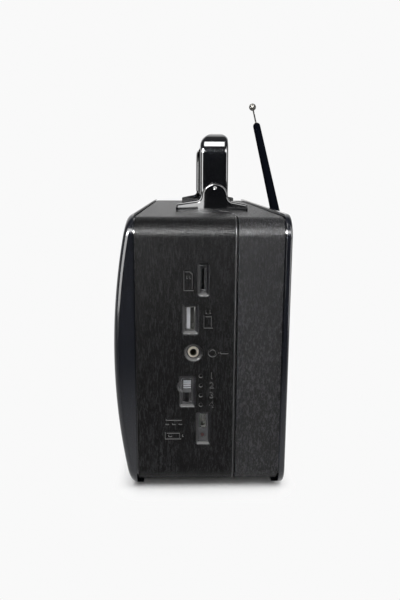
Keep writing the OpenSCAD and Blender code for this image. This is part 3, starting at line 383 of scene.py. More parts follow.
@dataclass(frozen=True)
class Leather(Finish):
    """Fine-grained leather: upright creases over small pores, lighter on the crests as wear and painted
    highlight, and darker in the furrows as painted shade.

    The furrow and the crest are shares of the colour: the furrow's painted shade, and the crest's wear
    and painted highlight.
    """

    upright: float = 0.2
    fine: float = 1100.0
    furrow: float = 0.05
    crest: float = 4.8

    def paint(self, graph: Graph, shader: Any) -> None:
        """Builds the grain.

        Args:
            graph: The material's graph.
            shader: The inputs of its shader.
        """
        drawn = graph.place((1.0, 1.0, self.upright))
        strands = graph.noise(self.fine, 4.0, 0.65, drawn, 0.9)
        pores = graph.noise(2.2 * self.fine, 3.0, 0.6, graph.place((1.0, 1.0, 0.4)), 0.3)
        wear = graph.noise(38, 4.0, 0.65, graph.place((1.0, 1.0, 0.5)))
        height = 0.7 * strands + 0.3 * pores
        crests = graph.between(height, 0.43, 0.6)
        # Painted shade darkens the furrows; the crests are lightened partly as wear and partly as
        # painted highlight.
        dark = tuple(self.furrow * part for part in self.colour)
        light = tuple(self.crest * part for part in self.colour)
        colour = graph.blend(dark, light, graph.between(crests * (0.65 + 0.7 * wear), 0.2, 1.1))
        self.lay(graph, shader, colour, self.roughness + 0.2 * (1 - crests) + 0.1 * wear, height)


@dataclass(frozen=True)
class Spun(Finish):
    """Metal turned on a lathe: fine rings about an axis along y."""

    centre: Triple = (0.0, 0.0, 0.0)

    def paint(self, graph: Graph, shader: Any) -> None:
        """Builds the turned rings.

        Args:
            graph: The material's graph.
            shader: The inputs of its shader.
        """
        rings = graph.turned(graph.length(graph.place((1.0, 0.0, 1.0), self.centre)))
        broad = graph.noise(90, 2.0)
        self.lay(graph, shader, self.shades(graph, rings),
                 self.roughness + 0.12 * rings + 0.06 * broad, rings)


@dataclass(frozen=True)
class Collar(Finish):
    """A turned collar about an axis along x, with painted shade inside its bore."""

    centre: Triple = (0.0, 0.0, 0.0)
    bore: float = 0.0019
    # The colour of the painted shade in the bore.
    inside: Colour = (0.02, 0.018, 0.014)

    def paint(self, graph: Graph, shader: Any) -> None:
        """Builds the rings and the dark bore.

        Args:
            graph: The material's graph.
            shader: The inputs of its shader.
        """
        radius = graph.length(graph.place((0.0, 1.0, 1.0), self.centre))
        rings = graph.turned(radius)
        # Painted shade: within the bore the colour turns dark and the gloss rougher.
        outside = graph.between(radius, self.bore - 0.0001, self.bore + 0.0002)
        self.lay(graph, shader, graph.blend(self.inside, self.shades(graph, rings), outside),
                 self.roughness + 0.12 * rings + 0.3 * (1 - outside), rings)


@dataclass(frozen=True)
class Brushed(Finish):
    """Metal brushed along one axis."""

    along: Triple = (0.02, 1.0, 1.0)

    def paint(self, graph: Graph, shader: Any) -> None:
        """Builds the brush lines.

        Args:
            graph: The material's graph.
            shader: The inputs of its shader.
        """
        lines = graph.noise(3800, 4.0, 0.7, graph.place(self.along))
        broad = graph.noise(70, 2.0)
        self.lay(graph, shader, self.shades(graph, 0.7 * lines + 0.3 * broad),
                 self.roughness + 0.14 * lines + 0.05 * broad, lines)


@dataclass(frozen=True)
class Polished(Finish):
    """A mirror finish with faint waviness and a trace of haze."""

    def paint(self, graph: Graph, shader: Any) -> None:
        """Builds the waviness.

        Args:
            graph: The material's graph.
            shader: The inputs of its shader.
        """
        waves = graph.noise(130, 2.0, 0.5)
        haze = graph.noise(900, 4.0, 0.65)
        self.lay(graph, shader, self.shades(graph, haze), self.roughness + 0.05 * haze,
                 0.8 * waves + 0.2 * haze)


@dataclass(frozen=True)
class Woven(Finish):
    """Grille cloth: a plain weave of round threads, painted darker between the threads as shade."""

    pitch: float = 0.0009

    def paint(self, graph: Graph, shader: Any) -> None:
        """Builds the weave.

        Args:
            graph: The material's graph.
            shader: The inputs of its shader.
        """
        where = graph.place()
        turn = 2 * math.pi / self.pitch
        over = graph.math("SINE", graph.part(where, "X") * turn)
        up = graph.math("SINE", graph.part(where, "Z") * turn)
        weave = 0.5 + 0.25 * over + 0.25 * up
        fuzz = graph.noise(2600, 2.0)
        # The colour follows the weave's height, so painted shade darkens it between the threads.
        self.lay(graph, shader, self.shades(graph, 0.8 * weave + 0.2 * fuzz),
                 self.roughness + 0.1 * fuzz, weave + 0.2 * fuzz)


@dataclass(frozen=True)
class Fibre(Finish):
    """Pressed board, paper or ferrite: flecks of two sizes."""

    fleck: float = 1.2

    def paint(self, graph: Graph, shader: Any) -> None:
        """Builds the flecks.

        Args:
            graph: The material's graph.
            shader: The inputs of its shader.
        """
        flecks = graph.between(graph.cells(1000 / self.fleck, feature="F1"), 0.1, 0.75)
        fine = graph.noise(1500, 4.0, 0.7)
        mixed = 0.55 * flecks + 0.45 * fine
        self.lay(graph, shader, self.shades(graph, mixed), self.roughness + 0.15 * fine, mixed)


@dataclass(frozen=True)
class Laminate(Finish):
    """A circuit board: green lacquer with paler tracks under it."""

    track: Colour = (0.1, 0.3, 0.1)

    def paint(self, graph: Graph, shader: Any) -> None:
        """Builds the tracks.

        Args:
            graph: The material's graph.
            shader: The inputs of its shader.
        """
        tracks = graph.between(graph.cells(260), 0.02, 0.05, 1.0, 0.0)
        weave = graph.noise(1700, 2.0)
        colour = graph.blend(self.shades(graph, weave), self.track, 0.6 * tracks)
        self.lay(graph, shader, colour, self.roughness + 0.1 * weave, tracks)


@dataclass(frozen=True)
class Lens(Finish):
    """A small clear lens that glows faintly in its middle."""

    glow: float = 0.6
    centre: Triple = (0.0, 0.0, 0.0)
    size: float = 0.0012

    def paint(self, graph: Graph, shader: Any) -> None:
        """Builds the glow.

        Args:
            graph: The material's graph.
            shader: The inputs of its shader.
        """
        distance = graph.length(graph.place((1.0, 0.3, 1.0), self.centre))
        middle = graph.between(distance, 0.0, self.size, 1.0, 0.15)
        fine = graph.noise(1200, 2.0)
        graph.feed(shader["Base Color"], self.shades(graph, fine))
        graph.feed(shader["Emission Color"], graph.blend((0.0, 0.0, 0.0), self.colour, middle))
        shader["Emission Strength"].default_value = self.glow
        graph.feed(shader["Roughness"], self.roughness + 0.1 * fine)


@dataclass(frozen=True)
class Ribbed(Finish):
    """A thumb piece with ribs across z, drawn as painted highlights on the ribs and painted shade
    between them, above a darker plain lower end.
    """

    pitch: float = 0.00125
    plain: float = 0.0008

    def paint(self, graph: Graph, shader: Any) -> None:
        """Builds the painted ribs about the slider's own middle.

        Args:
            graph: The material's graph.
            shader: The inputs of its shader.
        """
        low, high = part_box("band_slider")
        place = graph.part(graph.place((1.0, 1.0, 1.0), tuple((low + high) / 2)), "Z")
        wave = graph.math("COSINE", place * (2 * math.pi / self.pitch))
        above = graph.between(place, -self.plain - 0.0001, -self.plain + 0.0001)
        # Painted highlight on each rib and painted shade between them; the plain lower end stays dark.
        ribs = 0.12 + graph.between(wave, -0.6, 0.3, 1.0, 0.08) * above
        fine = graph.noise(1500, 2.0)
        self.lay(graph, shader, graph.blend((0.0, 0.0, 0.0), self.shades(graph, fine), ribs),
                 self.roughness + 0.15 * fine, fine)


@dataclass(frozen=True)
class Wire(Finish):
    """Enamelled wire wound along x, painted darker between the turns as shade."""

    pitch: float = 0.0004

    def paint(self, graph: Graph, shader: Any) -> None:
        """Builds the turns.

        Args:
            graph: The material's graph.
            shader: The inputs of its shader.
        """
        along = graph.part(graph.place(), "X") * (2 * math.pi / self.pitch)
        turns = 0.5 + 0.5 * graph.math("SINE", along)
        fine = graph.noise(900, 2.0)
        # The colour follows the turns' height, so painted shade darkens it between them.
        self.lay(graph, shader, self.shades(graph, turns), self.roughness + 0.15 * fine, turns)


# ---------------------------------------------------------------- outlines and lofts


class Datum:
    """Where the cabinet's own frame lies in the part's frame.

    The front shell starts SHELL_BACK behind the front groove and SHELL_UP above the underside.
    """

    SHELL_BACK = 0.35
    SHELL_UP = 1.0

    @staticmethod
    def matrix() -> Matrix:
        """The matrix from cabinet millimetres to metres, found from the front shell.

        Returns:
            The matrix.
        """
        low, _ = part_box("front_shell")
        start = (0, low.y - Datum.SHELL_BACK * MM, low.z - Datum.SHELL_UP * MM)
        return Matrix.Translation(start) @ Matrix.Scale(MM, 4)

    @staticmethod
    def point(x: float, y: float, z: float) -> Vector:
        """A point of the cabinet's frame, in metres."""
        return Datum.matrix() @ Vector((x, y, z))


@dataclass(frozen=True)
class Spot:
    """A place on a rounded rectangle: on its core, with the outward direction there."""

    u: float
    v: float
    nu: float
    nv: float


@dataclass(frozen=True)
class Rect:
    """A rounded rectangle by its half sizes, middle and corner radius."""

    half_u: float
    half_v: float
    mid_u: float
    mid_v: float
    r: float

    def inset(self, depth: float) -> "Rect":
        """The same outline drawn in by a depth, or out where it is negative."""
        return replace(self, half_u=self.half_u - depth, half_v=self.half_v - depth,
                       r=max(self.r - depth, 0.02))

    def at(self, spot: Spot) -> tuple[float, float]:
        """The point of the outline at a spot."""
        return (self.mid_u + spot.u * (self.half_u - self.r) + spot.nu * self.r,
                self.mid_v + spot.v * (self.half_v - self.r) + spot.nv * self.r)

    def spots(self, arc_steps: int, u_cuts: int = 0, v_cuts: int = 0) -> list[Spot]:
        """The outline's spots in order.

        Args:
            arc_steps: Steps round each corner.
            u_cuts: Cuts in the two sides that run along u.
            v_cuts: Cuts in the two sides that run along v.

        Returns:
            One spot for each vertex of the outline.
        """
        bm = bmesh.new()
        bmesh.ops.create_grid(bm, x_segments=1, y_segments=1, size=1.0)
        bmesh.ops.scale(bm, vec=(self.half_u, self.half_v, 1.0), verts=bm.verts)
        bmesh.ops.bevel(bm, geom=bm.verts[:], offset=self.r * 0.9999, segments=arc_steps, profile=0.5,
                        affect="VERTICES", clamp_overlap=False, material=-1)
        bmesh.ops.delete(bm, geom=bm.faces[:], context="FACES_ONLY")
        for cuts, long_way in ((u_cuts, 0), (v_cuts, 1)):
            sides = [edge for edge in bm.edges
                     if abs((edge.verts[0].co - edge.verts[1].co)[1 - long_way]) < SAME]
            if cuts:
                bmesh.ops.subdivide_edges(bm, edges=sides, cuts=cuts)
        core_u, core_v = self.half_u - self.r, self.half_v - self.r
        bm.verts.ensure_lookup_table()
        loop = [min(bm.verts, key=lambda vert: (vert.co.y, vert.co.x))]
        came = loop[0].link_edges[0]
        step = came.other_vert(loop[0])
        while step is not loop[0]:
            loop.append(step)
            came = next(edge for edge in step.link_edges if edge is not came)
            step = came.other_vert(step)
        found = []
        for vert in loop:
            near = Vector((max(-core_u, min(core_u, vert.co.x)),
                           max(-core_v, min(core_v, vert.co.y)), 0))
            away = (vert.co - near).normalized()
            u, v = (along / core if core > 1e-6 else 0.0
                    for along, core in ((near.x, core_u), (near.y, core_v)))
            found.append(Spot(u, v, away.x, away.y))
        bm.free()
        return found

    def ring(self, spots: Sequence[Spot], y: float) -> list[Triple]:
        """The outline's points at some spots, as an outline in x and z at a depth."""
        return [(x, y, z) for x, z in map(self.at, spots)]


class Loft:
    """Rings of vertices of one order, each extruded from the last."""

    def __init__(self, bm: BMesh, count: int) -> None:
        """Takes the mesh to build in and the vertices in a ring.

        Args:
            bm: The mesh.
            count: How many vertices a ring has.
        """
        self.bm = bm
        self.count = count
        self.rings: list[list[BMVert]] = []

    @staticmethod
    def edges(ring: Sequence[BMVert]) -> list[BMEdge]:
        """The edges of a closed ring, in order.

        Args:
            ring: The ring's vertices.

        Returns:
            The edges, from the first vertex on.
        """
        found = []
        for one, two in zip(ring, [*ring[1:], ring[0]]):
            found += [edge for edge in one.link_edges if edge.other_vert(one) is two]
        return found

    def ring(self, places: Sequence[Triple]) -> list[BMVert]:
        """Adds a ring.

        Args:
            places: Where its vertices go, in order.

        Returns:
            The ring's vertices.
        """
        if not self.rings:
            ring = bmesh.ops.create_circle(self.bm, segments=self.count, radius=1.0)["verts"]
        else:
            last = self.rings[-1]
            made = bmesh.ops.extrude_edge_only(self.bm, edges=self.edges(last))["geom"]
            fresh = {item for item in made if isinstance(item, BMVert)}
            ring = [next(edge.other_vert(vert) for edge in vert.link_edges
                         if edge.other_vert(vert) in fresh) for vert in last]
        for vert, place in zip(ring, places):
            vert.co = place
        self.rings.append(ring)
        return ring

    def close(self) -> None:
        """Joins the last ring to the first."""
        last, first = self.rings[-1], self.rings[0]
        for number in range(self.count):
            after = (number + 1) % self.count
            bmesh.ops.contextual_create(self.bm, geom=[last[number], last[after],
                                                       first[after], first[number]])

    def cap(self, number: int) -> None:
        """Closes a ring with one face."""
        bmesh.ops.contextual_create(self.bm, geom=self.edges(self.rings[number]))


def lathe(bm: BMesh, profile: Sequence[Pair], steps: int, centre: Triple = (0.0, 0.0, 0.0),
          axis: Triple = (0.0, 1.0, 0.0)) -> None:
    """Spins a profile into a closed solid, from a radius along x.

    Args:
        bm: The mesh to build in.
        profile: Radius and height along the axis of each point.
        steps: Steps round the axis.
        centre: A point on the axis.
        axis: Its direction, square to x.
    """
    made: list[BMVert] = []
    for radius, along in profile:
        where = Vector(centre) + Vector((radius, 0.0, 0.0)) + along * Vector(axis)
        made += bmesh.ops.create_vert(bm, co=where)["vert"]
    edges = [bm.edges.new(pair) for pair in zip(made, made[1:])]
    before = set(bm.verts) - set(made)
    bmesh.ops.spin(bm, geom=made + edges, cent=centre, axis=axis, dvec=(0, 0, 0),
                   angle=2 * math.pi, steps=steps, use_merge=True, use_duplicate=False)
    fresh = [vert for vert in bm.verts if vert not in before]
    bmesh.ops.remove_doubles(bm, verts=fresh, dist=SAME)


def rounding(radius: float, steps: int, start: float = 0.0) -> list[Pair]:
    """Offsets in and forward of a quarter round.

    Args:
        radius: The radius.
        steps: How many steps it has.
        start: The angle in radians at which it starts.

    Returns:
        Pairs of (in, forward), from the side to the face.
    """
    found = []
    for number in range(steps + 1):
        angle = start + (math.pi / 2 - start) * number / steps
        found.append((radius * (1 - math.cos(angle)), radius * math.sin(angle)))
    return found


def clamp(value: float) -> float:
    """A value kept between 0 and 1."""
    return max(0.0, min(1.0, value))


def round_edges(bm: BMesh, edges: Sequence[BMEdge], radius: float, segments: int) -> None:
    """Rounds some edges of a mesh."""
    bmesh.ops.bevel(bm, geom=edges, offset=radius, offset_type="OFFSET", segments=segments,
                    profile=0.5, affect="EDGES", clamp_overlap=True, material=-1)


def join(bm: BMesh, part: BMesh) -> list[BMEdge]:
    """Adds a mesh to another and frees it.

    Args:
        bm: The mesh that grows.
        part: The mesh that is used up.

    Returns:
        The open edges that came with it.
    """
    mesh = bpy.data.meshes.new("part")
    part.to_mesh(mesh)
    part.free()
    before = set(bm.edges)
    bm.from_mesh(mesh)
    bpy.data.meshes.remove(mesh)
    return [edge for edge in bm.edges if edge not in before and edge.is_boundary]


def settle(bm: BMesh) -> None:
    """Puts edges and faces in the order of their vertices, so that each run gives the same mesh.

    Args:
        bm: The mesh.
    """
    bm.verts.index_update()
    for parts in (bm.edges, bm.faces):
        ranked = sorted(parts, key=lambda part: sorted(vert.index for vert in part.verts))
        for rank, part in enumerate(ranked):
            part.index = rank
        parts.sort()


def stand(name: str, data: bpy.types.ID) -> bpy.types.Object:
    """Puts a mesh, a lamp, a camera or a text into the scene.

    Args:
        name: The object's name.
        data: What it shows.

    Returns:
        The object.
    """
    made = bpy.data.objects.new(name, data)
    bpy.context.scene.collection.objects.link(made)
    return made


# ---------------------------------------------------------------- pieces


@dataclass
class Assembly:
    """A sub-assembly that adds finished pieces to the scene."""

    def add(self, bm: BMesh, name: str, finish: Finish, body: str, slot: str,
            stands_for: Sequence[str] = (), crease: float = 32.0,
            weighted: bool = True) -> bpy.types.Object:
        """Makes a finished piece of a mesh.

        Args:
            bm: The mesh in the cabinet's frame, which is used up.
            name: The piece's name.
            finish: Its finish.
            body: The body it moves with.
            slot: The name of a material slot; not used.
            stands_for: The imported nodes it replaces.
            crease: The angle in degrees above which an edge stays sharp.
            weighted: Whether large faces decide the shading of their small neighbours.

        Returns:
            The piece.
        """
        bmesh.ops.transform(bm, matrix=Datum.matrix(), verts=bm.verts)
        bmesh.ops.recalc_face_normals(bm, faces=bm.faces)
        settle(bm)
        mesh = bpy.data.meshes.new(name)
        bm.to_mesh(mesh)
        bm.free()
        mesh.shade_smooth()
        mesh.set_sharp_from_angle(angle=math.radians(crease))
        piece = stand(name, mesh)
        mesh.materials.append(finish.material())
        if weighted:
            piece.modifiers.new("weighted", "WEIGHTED_NORMAL").keep_sharp = True
        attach(piece, body)
        if stands_for:
            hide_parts(*stands_for)
        LOG.info("%s rides on %s and stands for %s", name, body, ", ".join(stands_for) or "nothing")
        return piece


@dataclass(frozen=True)
class Bow:
    """The bowed surface of the front."""

    reach: float = 11.6
    radius: float = 355.0
    mid_z: float = 75.0

    def at(self, z: float, depth: float = 0.0) -> float:
        """Where the surface lies at a height.

        Args:
            z: The height.
            depth: How far it is set back.

        Returns:
            Its place back from the front groove, negative in front of it.
        """
        return (self.radius - self.reach
                - math.sqrt((self.radius - depth) ** 2 - (z - self.mid_z) ** 2))


@dataclass(frozen=True)
class Port:
    """A recess in the side: its middle and size along y and z, its corner's and its slope's size.

    A scallop is the middle and radius of a round bite that widens it towards the front.
    """

    y: float
    z: float
    w: float
    h: float
    r: float
    slope: float = 0.0
    scallop: Optional[Triple] = None
    cuts: int = 24

    def places(self, grow: float, x: float) -> list[Triple]:
        """The recess's outline, grown by some amount, at a plane.

        Args:
            grow: How much wider it is on each side.
            x: The plane.

        Returns:
            The outline's points.
        """
        rect = Rect(self.w / 2, self.h / 2, self.y, self.z, min(self.r, self.w / 2))
        found = []
        for spot in rect.spots(6, 0, self.cuts if self.scallop else 0):
            y, z = rect.inset(-grow).at(spot)
            if self.scallop:
                mid_y, mid_z, radius = self.scallop
                reach = (radius + grow) ** 2 - (z - mid_z) ** 2
                if spot.u <= 0 and reach > 0:
                    y = min(y, mid_y - math.sqrt(reach))
            found.append((x, y, z))
        return found


@dataclass
class Cabinet(Assembly):
    """The leather covers of the two halves."""

    half_w: float = 135.0
    half_h: float = 75.0
    corner: float = 10.6
    skin: float = 1.0
    front_edge: float = 0.35
    seam: float = 54.15
    rear_seam: float = 54.85
    rear_edge: float = 78.95
    edge_r: float = 0.3
    bead: float = 0.4
    bead_w: float = 1.1
    bead_steps: int = 8
    port_edge: float = 0.35
    port_floor: float = 2.05
    ports: tuple[Port, ...] = (
        Port(36.45, 117.6, 6.3, 18.2, 1.6, 1.5),
        Port(29.6, 96.1, 8.8, 16.6, 1.2, 1.5),
        Port(27.85, 55.45, 8.8, 18.1, 1.2, 1.1, (26.85, 58.3, 4.6)),
        Port(36.65, 33.85, 7.9, 19.1, 1.0, 1.0),
        Port(31.2, 77.6, 10.0, 10.0, 5.0, 1.3))

    def build(self, leather: Finish, rear: Finish) -> None:
        """Builds both covers.

        Args:
            leather: The finish of the front half.
            rear: The finish of the rear half.
        """
        self.front(leather)
        self.rear(rear)
        self.walls()
        self.piping()

    def walls(self) -> None:
        """The sloping moulded walls inside the recesses, painted paler as light where they look up and
        back along y.
        """
        bm = bmesh.new()
        floor = self.half_w - self.port_floor
        lip = self.half_w - self.port_edge
        for port in self.ports:
            loft = Loft(bm, len(port.places(0.0, 0.0)))
            for grow, x in ((-0.03, lip), (-0.25, lip - 0.02), (-0.45, lip - 0.2),
                            (-0.9 * port.slope, floor + 0.25), (-port.slope, floor), (-0.03, floor)):
                loft.ring(port.places(grow, x))
            loft.close()
        # Painted light on the walls that look up and back along y.
        PaintedLitFaces.mark(bm, 0.7, 0.32)
        self.add(bm, "port_walls", PORT_PLASTIC, "cabinet", "shell_plastic", crease=40)

    def half_round(self, rise: float, sink: float, middle: float) -> list[Pair]:
        """A half round across the seam's bead, as (inset, y).

        Args:
            rise: How far it stands out.
            sink: How far its ends lie below the leather.
            middle: Where its middle is along y.

        Returns:
            Its points from front to back.
        """
        turns = [math.pi * step / self.bead_steps for step in range(self.bead_steps + 1)]
        return [(sink - rise * math.sin(turn), middle - self.bead_w / 2 * math.cos(turn))
                for turn in turns]

    def piping(self) -> None:
        """The half-round bead along the seam."""
        bm = bmesh.new()
        self.sweep(bm, self.half_round(1.35 * self.bead, 0.1, self.seam - self.bead_w / 2 - 0.06))
        self.add(bm, "seam_piping", PIPING, "cabinet", "leather", crease=50)

    def outline(self) -> Rect:
        """The cabinet's outline in x and z."""
        return Rect(self.half_w, self.half_h, 0.0, self.half_h, self.corner)

    def sweep(self, bm: BMesh, stations: Sequence[Pair]) -> None:
        """Sweeps a closed section round the outline.

        Args:
            bm: The mesh to build in.
            stations: The section's points, as (inset, y).
        """
        rect = self.outline()
        spots = rect.spots(10)
        loft = Loft(bm, len(spots))
        for inset, y in stations:
            loft.ring(rect.inset(inset).ring(spots, y))
        loft.close()

    def brink(self, y: float, way: int) -> list[Pair]:
        """The rounded edge where a cover starts, as (inset, y) from the inside out.

        Args:
            y: Where the edge lies.
            way: One where the cover lies behind it, minus one where it lies in front.

        Returns:
            The edge's points.
        """
        half_way = 0.3 * self.edge_r
        return [(self.skin, y), (self.edge_r, y), (half_way, y + way * half_way),
                (0.0, y + way * self.edge_r)]

    def front(self, leather: Finish) -> None:
        """The front cover, with its windows round the sockets and the bead at the seam.

        Args:
            leather: Its finish.
        """
        bm = bmesh.new()
        bead = self.half_round(self.bead, 0.0, self.seam - self.bead_w / 2)
        self.sweep(bm, [*self.brink(self.front_edge, 1), *bead[:-1], (0.1, self.seam - 0.02),
                        (self.edge_r, self.seam), (self.skin, self.seam)])
        hole = self.open_wall(bm, self.half_w)
        outer, inner = self.windows(bm)
        self.fill(bm, hole + outer)
        self.fill(bm, self.open_wall(bm, self.half_w - self.skin) + inner)
        self.add(bm, "front_cover", leather, "cabinet", "leather", ["front_leather"], crease=40)

    @staticmethod
    def open_wall(bm: BMesh, x: float) -> list[BMEdge]:
        """Takes out the cover's flat wall at a plane.

        Args:
            bm: The cover's mesh.
            x: The plane.

        Returns:
            The edges round the hole.
        """
        wall = max((face for face in bm.faces if abs(face.calc_center_median().x - x) < 0.01
                    and abs(face.normal.x) > 0.99), key=BMFace.calc_area)
        edges = list(wall.edges)
        bmesh.ops.delete(bm, geom=[wall], context="FACES_ONLY")
        return edges

    @staticmethod
    def fill(bm: BMesh, edges: Sequence[BMEdge]) -> None:
        """Fills a flat wall between its border and the windows in it."""
        bmesh.ops.triangle_fill(bm, use_beauty=True, use_dissolve=False, edges=edges,
                                normal=(1.0, 0.0, 0.0))

    def windows(self, bm: BMesh) -> tuple[list[BMEdge], list[BMEdge]]:
        """The rounded walls of the windows and the pressed signs beside them.

        Args:
            bm: The cover's mesh.

        Returns:
            The edges at the outer face and the edges at the inner face.
        """
        outer: list[BMEdge] = []
        inner: list[BMEdge] = []
        for port in self.ports:
            loft = Loft(bm, len(port.places(0.0, 0.0)))
            for back, forward in reversed(rounding(self.port_edge, 3)):
                loft.ring(port.places(back, self.half_w - self.port_edge + forward))
            loft.ring(port.places(0.0, self.half_w - self.skin))
            outer += Loft.edges(loft.rings[0])
            inner += Loft.edges(loft.rings[-1])
        marks = SideMarks()
        for part in marks.flats():
            marks.pocket(part)
            outer += join(bm, part)
        return outer, inner

    def rear(self, leather: Finish) -> None:
        """The rear cover.

        Args:
            leather: Its finish.
        """
        bm = bmesh.new()
        self.sweep(bm, self.brink(self.rear_seam, 1) + self.brink(self.rear_edge, -1)[::-1])
        self.add(bm, "rear_cover", leather, "cabinet", "leather", ["rear_leather"], crease=40)


@dataclass
class Rims(Assembly):
    """The bowed front rim and the flat rear rim, with their feet.

    The front rim ends at groove_y, where its edge has a chamfer. Its bead stands out by a step
    that grows from nothing at the height fade_z over the height fade.
    """

    bow: Bow = field(default_factory=Bow)
    outline: Rect = Rect(136.0, 77.25, 0.0, 74.25, 13.0)
    opening: Rect = Rect(129.5, 69.5, 0.0, 75.0, 8.0)
    spigot: Rect = Rect(133.85, 73.85, 0.0, 75.0, 9.45)
    groove_y: float = -0.35
    spigot_y: float = 0.35
    mouth: float = 0.5
    side_round: float = 2.8
    over_round: float = 5.0
    bead_w: float = 3.2
    step: float = 0.5
    fade_z: float = 9.0
    fade: float = 4.0
    chamfer: float = 0.25
    panel_back: float = 5.1
    foot_top: float = -0.3
    foot_in: float = 3.0
    foot_round: float = 0.6
    spigot_l: float = 0.7
    rear_y: float = 79.65
    rear_face: float = 82.95
    rear_round: float = 1.6
    rear_mouth: float = 0.4
    arc: int = 7

    def build(self, gloss: Finish) -> None:
        """Builds both rims.

        Args:
            gloss: Their finish.
        """
        self.front(gloss)
        self.rear(gloss)

    def section(self, spot: Spot) -> list[Pair]:
        """The front rim's outer section at one spot, whose bead fades out towards the foot.

        Args:
            spot: The spot on the rim's outline.

        Returns:
            Pairs of inset and y, from the groove round to the face.
        """
        r = self.side_round + (self.over_round - self.side_round) * spot.nv ** 2
        depth = -self.bow.at(self.outline.inset(r).at(spot)[1])
        centre = r - depth
        start = math.asin(clamp((centre - self.groove_y) / r))
        lead = r * (1 - math.cos(start))
        z = self.outline.at(spot)[1]
        bead_y = min(self.bead_w - depth, self.groove_y - 0.4)
        step = self.step * clamp((-1.0 - bead_y) / 1.5) * clamp((z - self.fade_z) / self.fade)
        low = self.groove_y - 0.02 if start else min(self.groove_y - self.chamfer, centre - 0.02)
        bead_end = min(bead_y, low)
        walls = [(lead + self.chamfer + step, self.groove_y), (lead + step, low),
                 (lead + step, bead_end - 0.01), (lead + 0.6 * step, bead_end - 0.1),
                 (lead, bead_end - 0.3)]
        round_off = [(back, centre - forward) for back, forward in rounding(r, self.arc, start)]
        walls = [(back, max(y, round_off[0][1])) for back, y in walls]
        return walls + round_off

    def front(self, gloss: Finish) -> None:
        """The front rim: groove, wall, bead, bowed face and opening.

        Args:
            gloss: Its finish.
        """
        spots = self.outline.spots(10, 0, 30)
        sections = [self.section(spot) for spot in spots]
        bm = bmesh.new()
        loft = Loft(bm, len(spots))
        loft.ring(self.spigot.ring(spots, self.spigot_y))
        loft.ring(self.spigot.ring(spots, self.groove_y))
        for level in zip(*sections):
            loft.ring([self.outline.inset(inset).ring([spot], y)[0]
                       for spot, (inset, y) in zip(spots, level)])
        for share, back, near in ((0.5, 0.0, 0.0), (1.0, 0.0, self.mouth),
                                  (1.0, 0.3 * self.mouth, 0.3 * self.mouth), (1.0, self.mouth, 0.0)):
            ring = []
            for spot, section in zip(spots, sections):
                start = Vector(self.outline.inset(section[-1][0]).at(spot))
                end = Vector(self.opening.inset(-near).at(spot))
                x, z = start.lerp(end, share)
                ring.append((x, self.bow.at(z) + back, z))
            loft.ring(ring)
        loft.ring([(x, self.bow.at(z) + self.panel_back, z) for x, z in map(self.opening.at, spots)])
        loft.ring(self.opening.ring(spots, self.spigot_y))
        loft.close()
        self.foot(bm, self.groove_y - 0.3, self.foot_in)
        self.add(bm, "bowed_rim", gloss, "cabinet", "rim_plastic", ["front_rim"], crease=30)

    def foot(self, bm: BMesh, y0: float, y1: float) -> None:
        """A foot: the lowest strip of the outline, with rounded edges.

        Args:
            bm: The rim's mesh.
            y0: Where the foot starts.
            y1: Where it ends.
        """
        spots = self.outline.spots(10)
        part = bmesh.new()
        loft = Loft(part, len(spots))
        for y in (y0, y1):
            loft.ring(self.outline.inset(0.02).ring(spots, y))
        loft.cap(0)
        loft.cap(1)
        bmesh.ops.bisect_plane(part, geom=part.verts[:] + part.edges[:] + part.faces[:], dist=1e-5,
                               plane_co=(0, 0, self.foot_top), plane_no=(0, 0, 1), clear_outer=True)
        bmesh.ops.contextual_create(part, geom=[edge for edge in part.edges if edge.is_boundary])
        bmesh.ops.recalc_face_normals(part, faces=part.faces)
        sharp = [edge for edge in part.edges if edge.calc_face_angle(0.0) > math.radians(40)]
        round_edges(part, sharp, self.foot_round, 3)
        join(bm, part)

    def rear(self, gloss: Finish) -> None:
        """The rear rim.

        Args:
            gloss: Its finish.
        """
        spots = self.outline.spots(10)
        bm = bmesh.new()
        loft = Loft(bm, len(spots))
        spigot_end = self.rear_y - self.spigot_l
        rings = [(self.spigot, spigot_end), (self.spigot, self.rear_y),
                 (self.outline.inset(self.chamfer), self.rear_y),
                 (self.outline.inset(0.07), self.rear_y + 0.07),
                 (self.outline, self.rear_y + self.chamfer)]
        rings += [(self.outline.inset(back), self.rear_face - self.rear_round + forward)
                  for back, forward in rounding(self.rear_round, 6)]
        rings += [(self.opening.inset(-near), self.rear_face - self.rear_mouth + forward)
                  for near, forward in ((self.rear_mouth, self.rear_mouth),
                                        (0.3 * self.rear_mouth, 0.7 * self.rear_mouth), (0.0, 0.0))]
        for rect, y in [*rings, (self.opening, spigot_end)]:
            loft.ring(rect.ring(spots, y))
        loft.close()
        self.foot(bm, self.rear_y - 0.35 - self.foot_in, self.rear_y + 0.5)
        self.add(bm, "flat_rim", gloss, "cabinet", "rim_plastic", ["rear_rim"], crease=30)


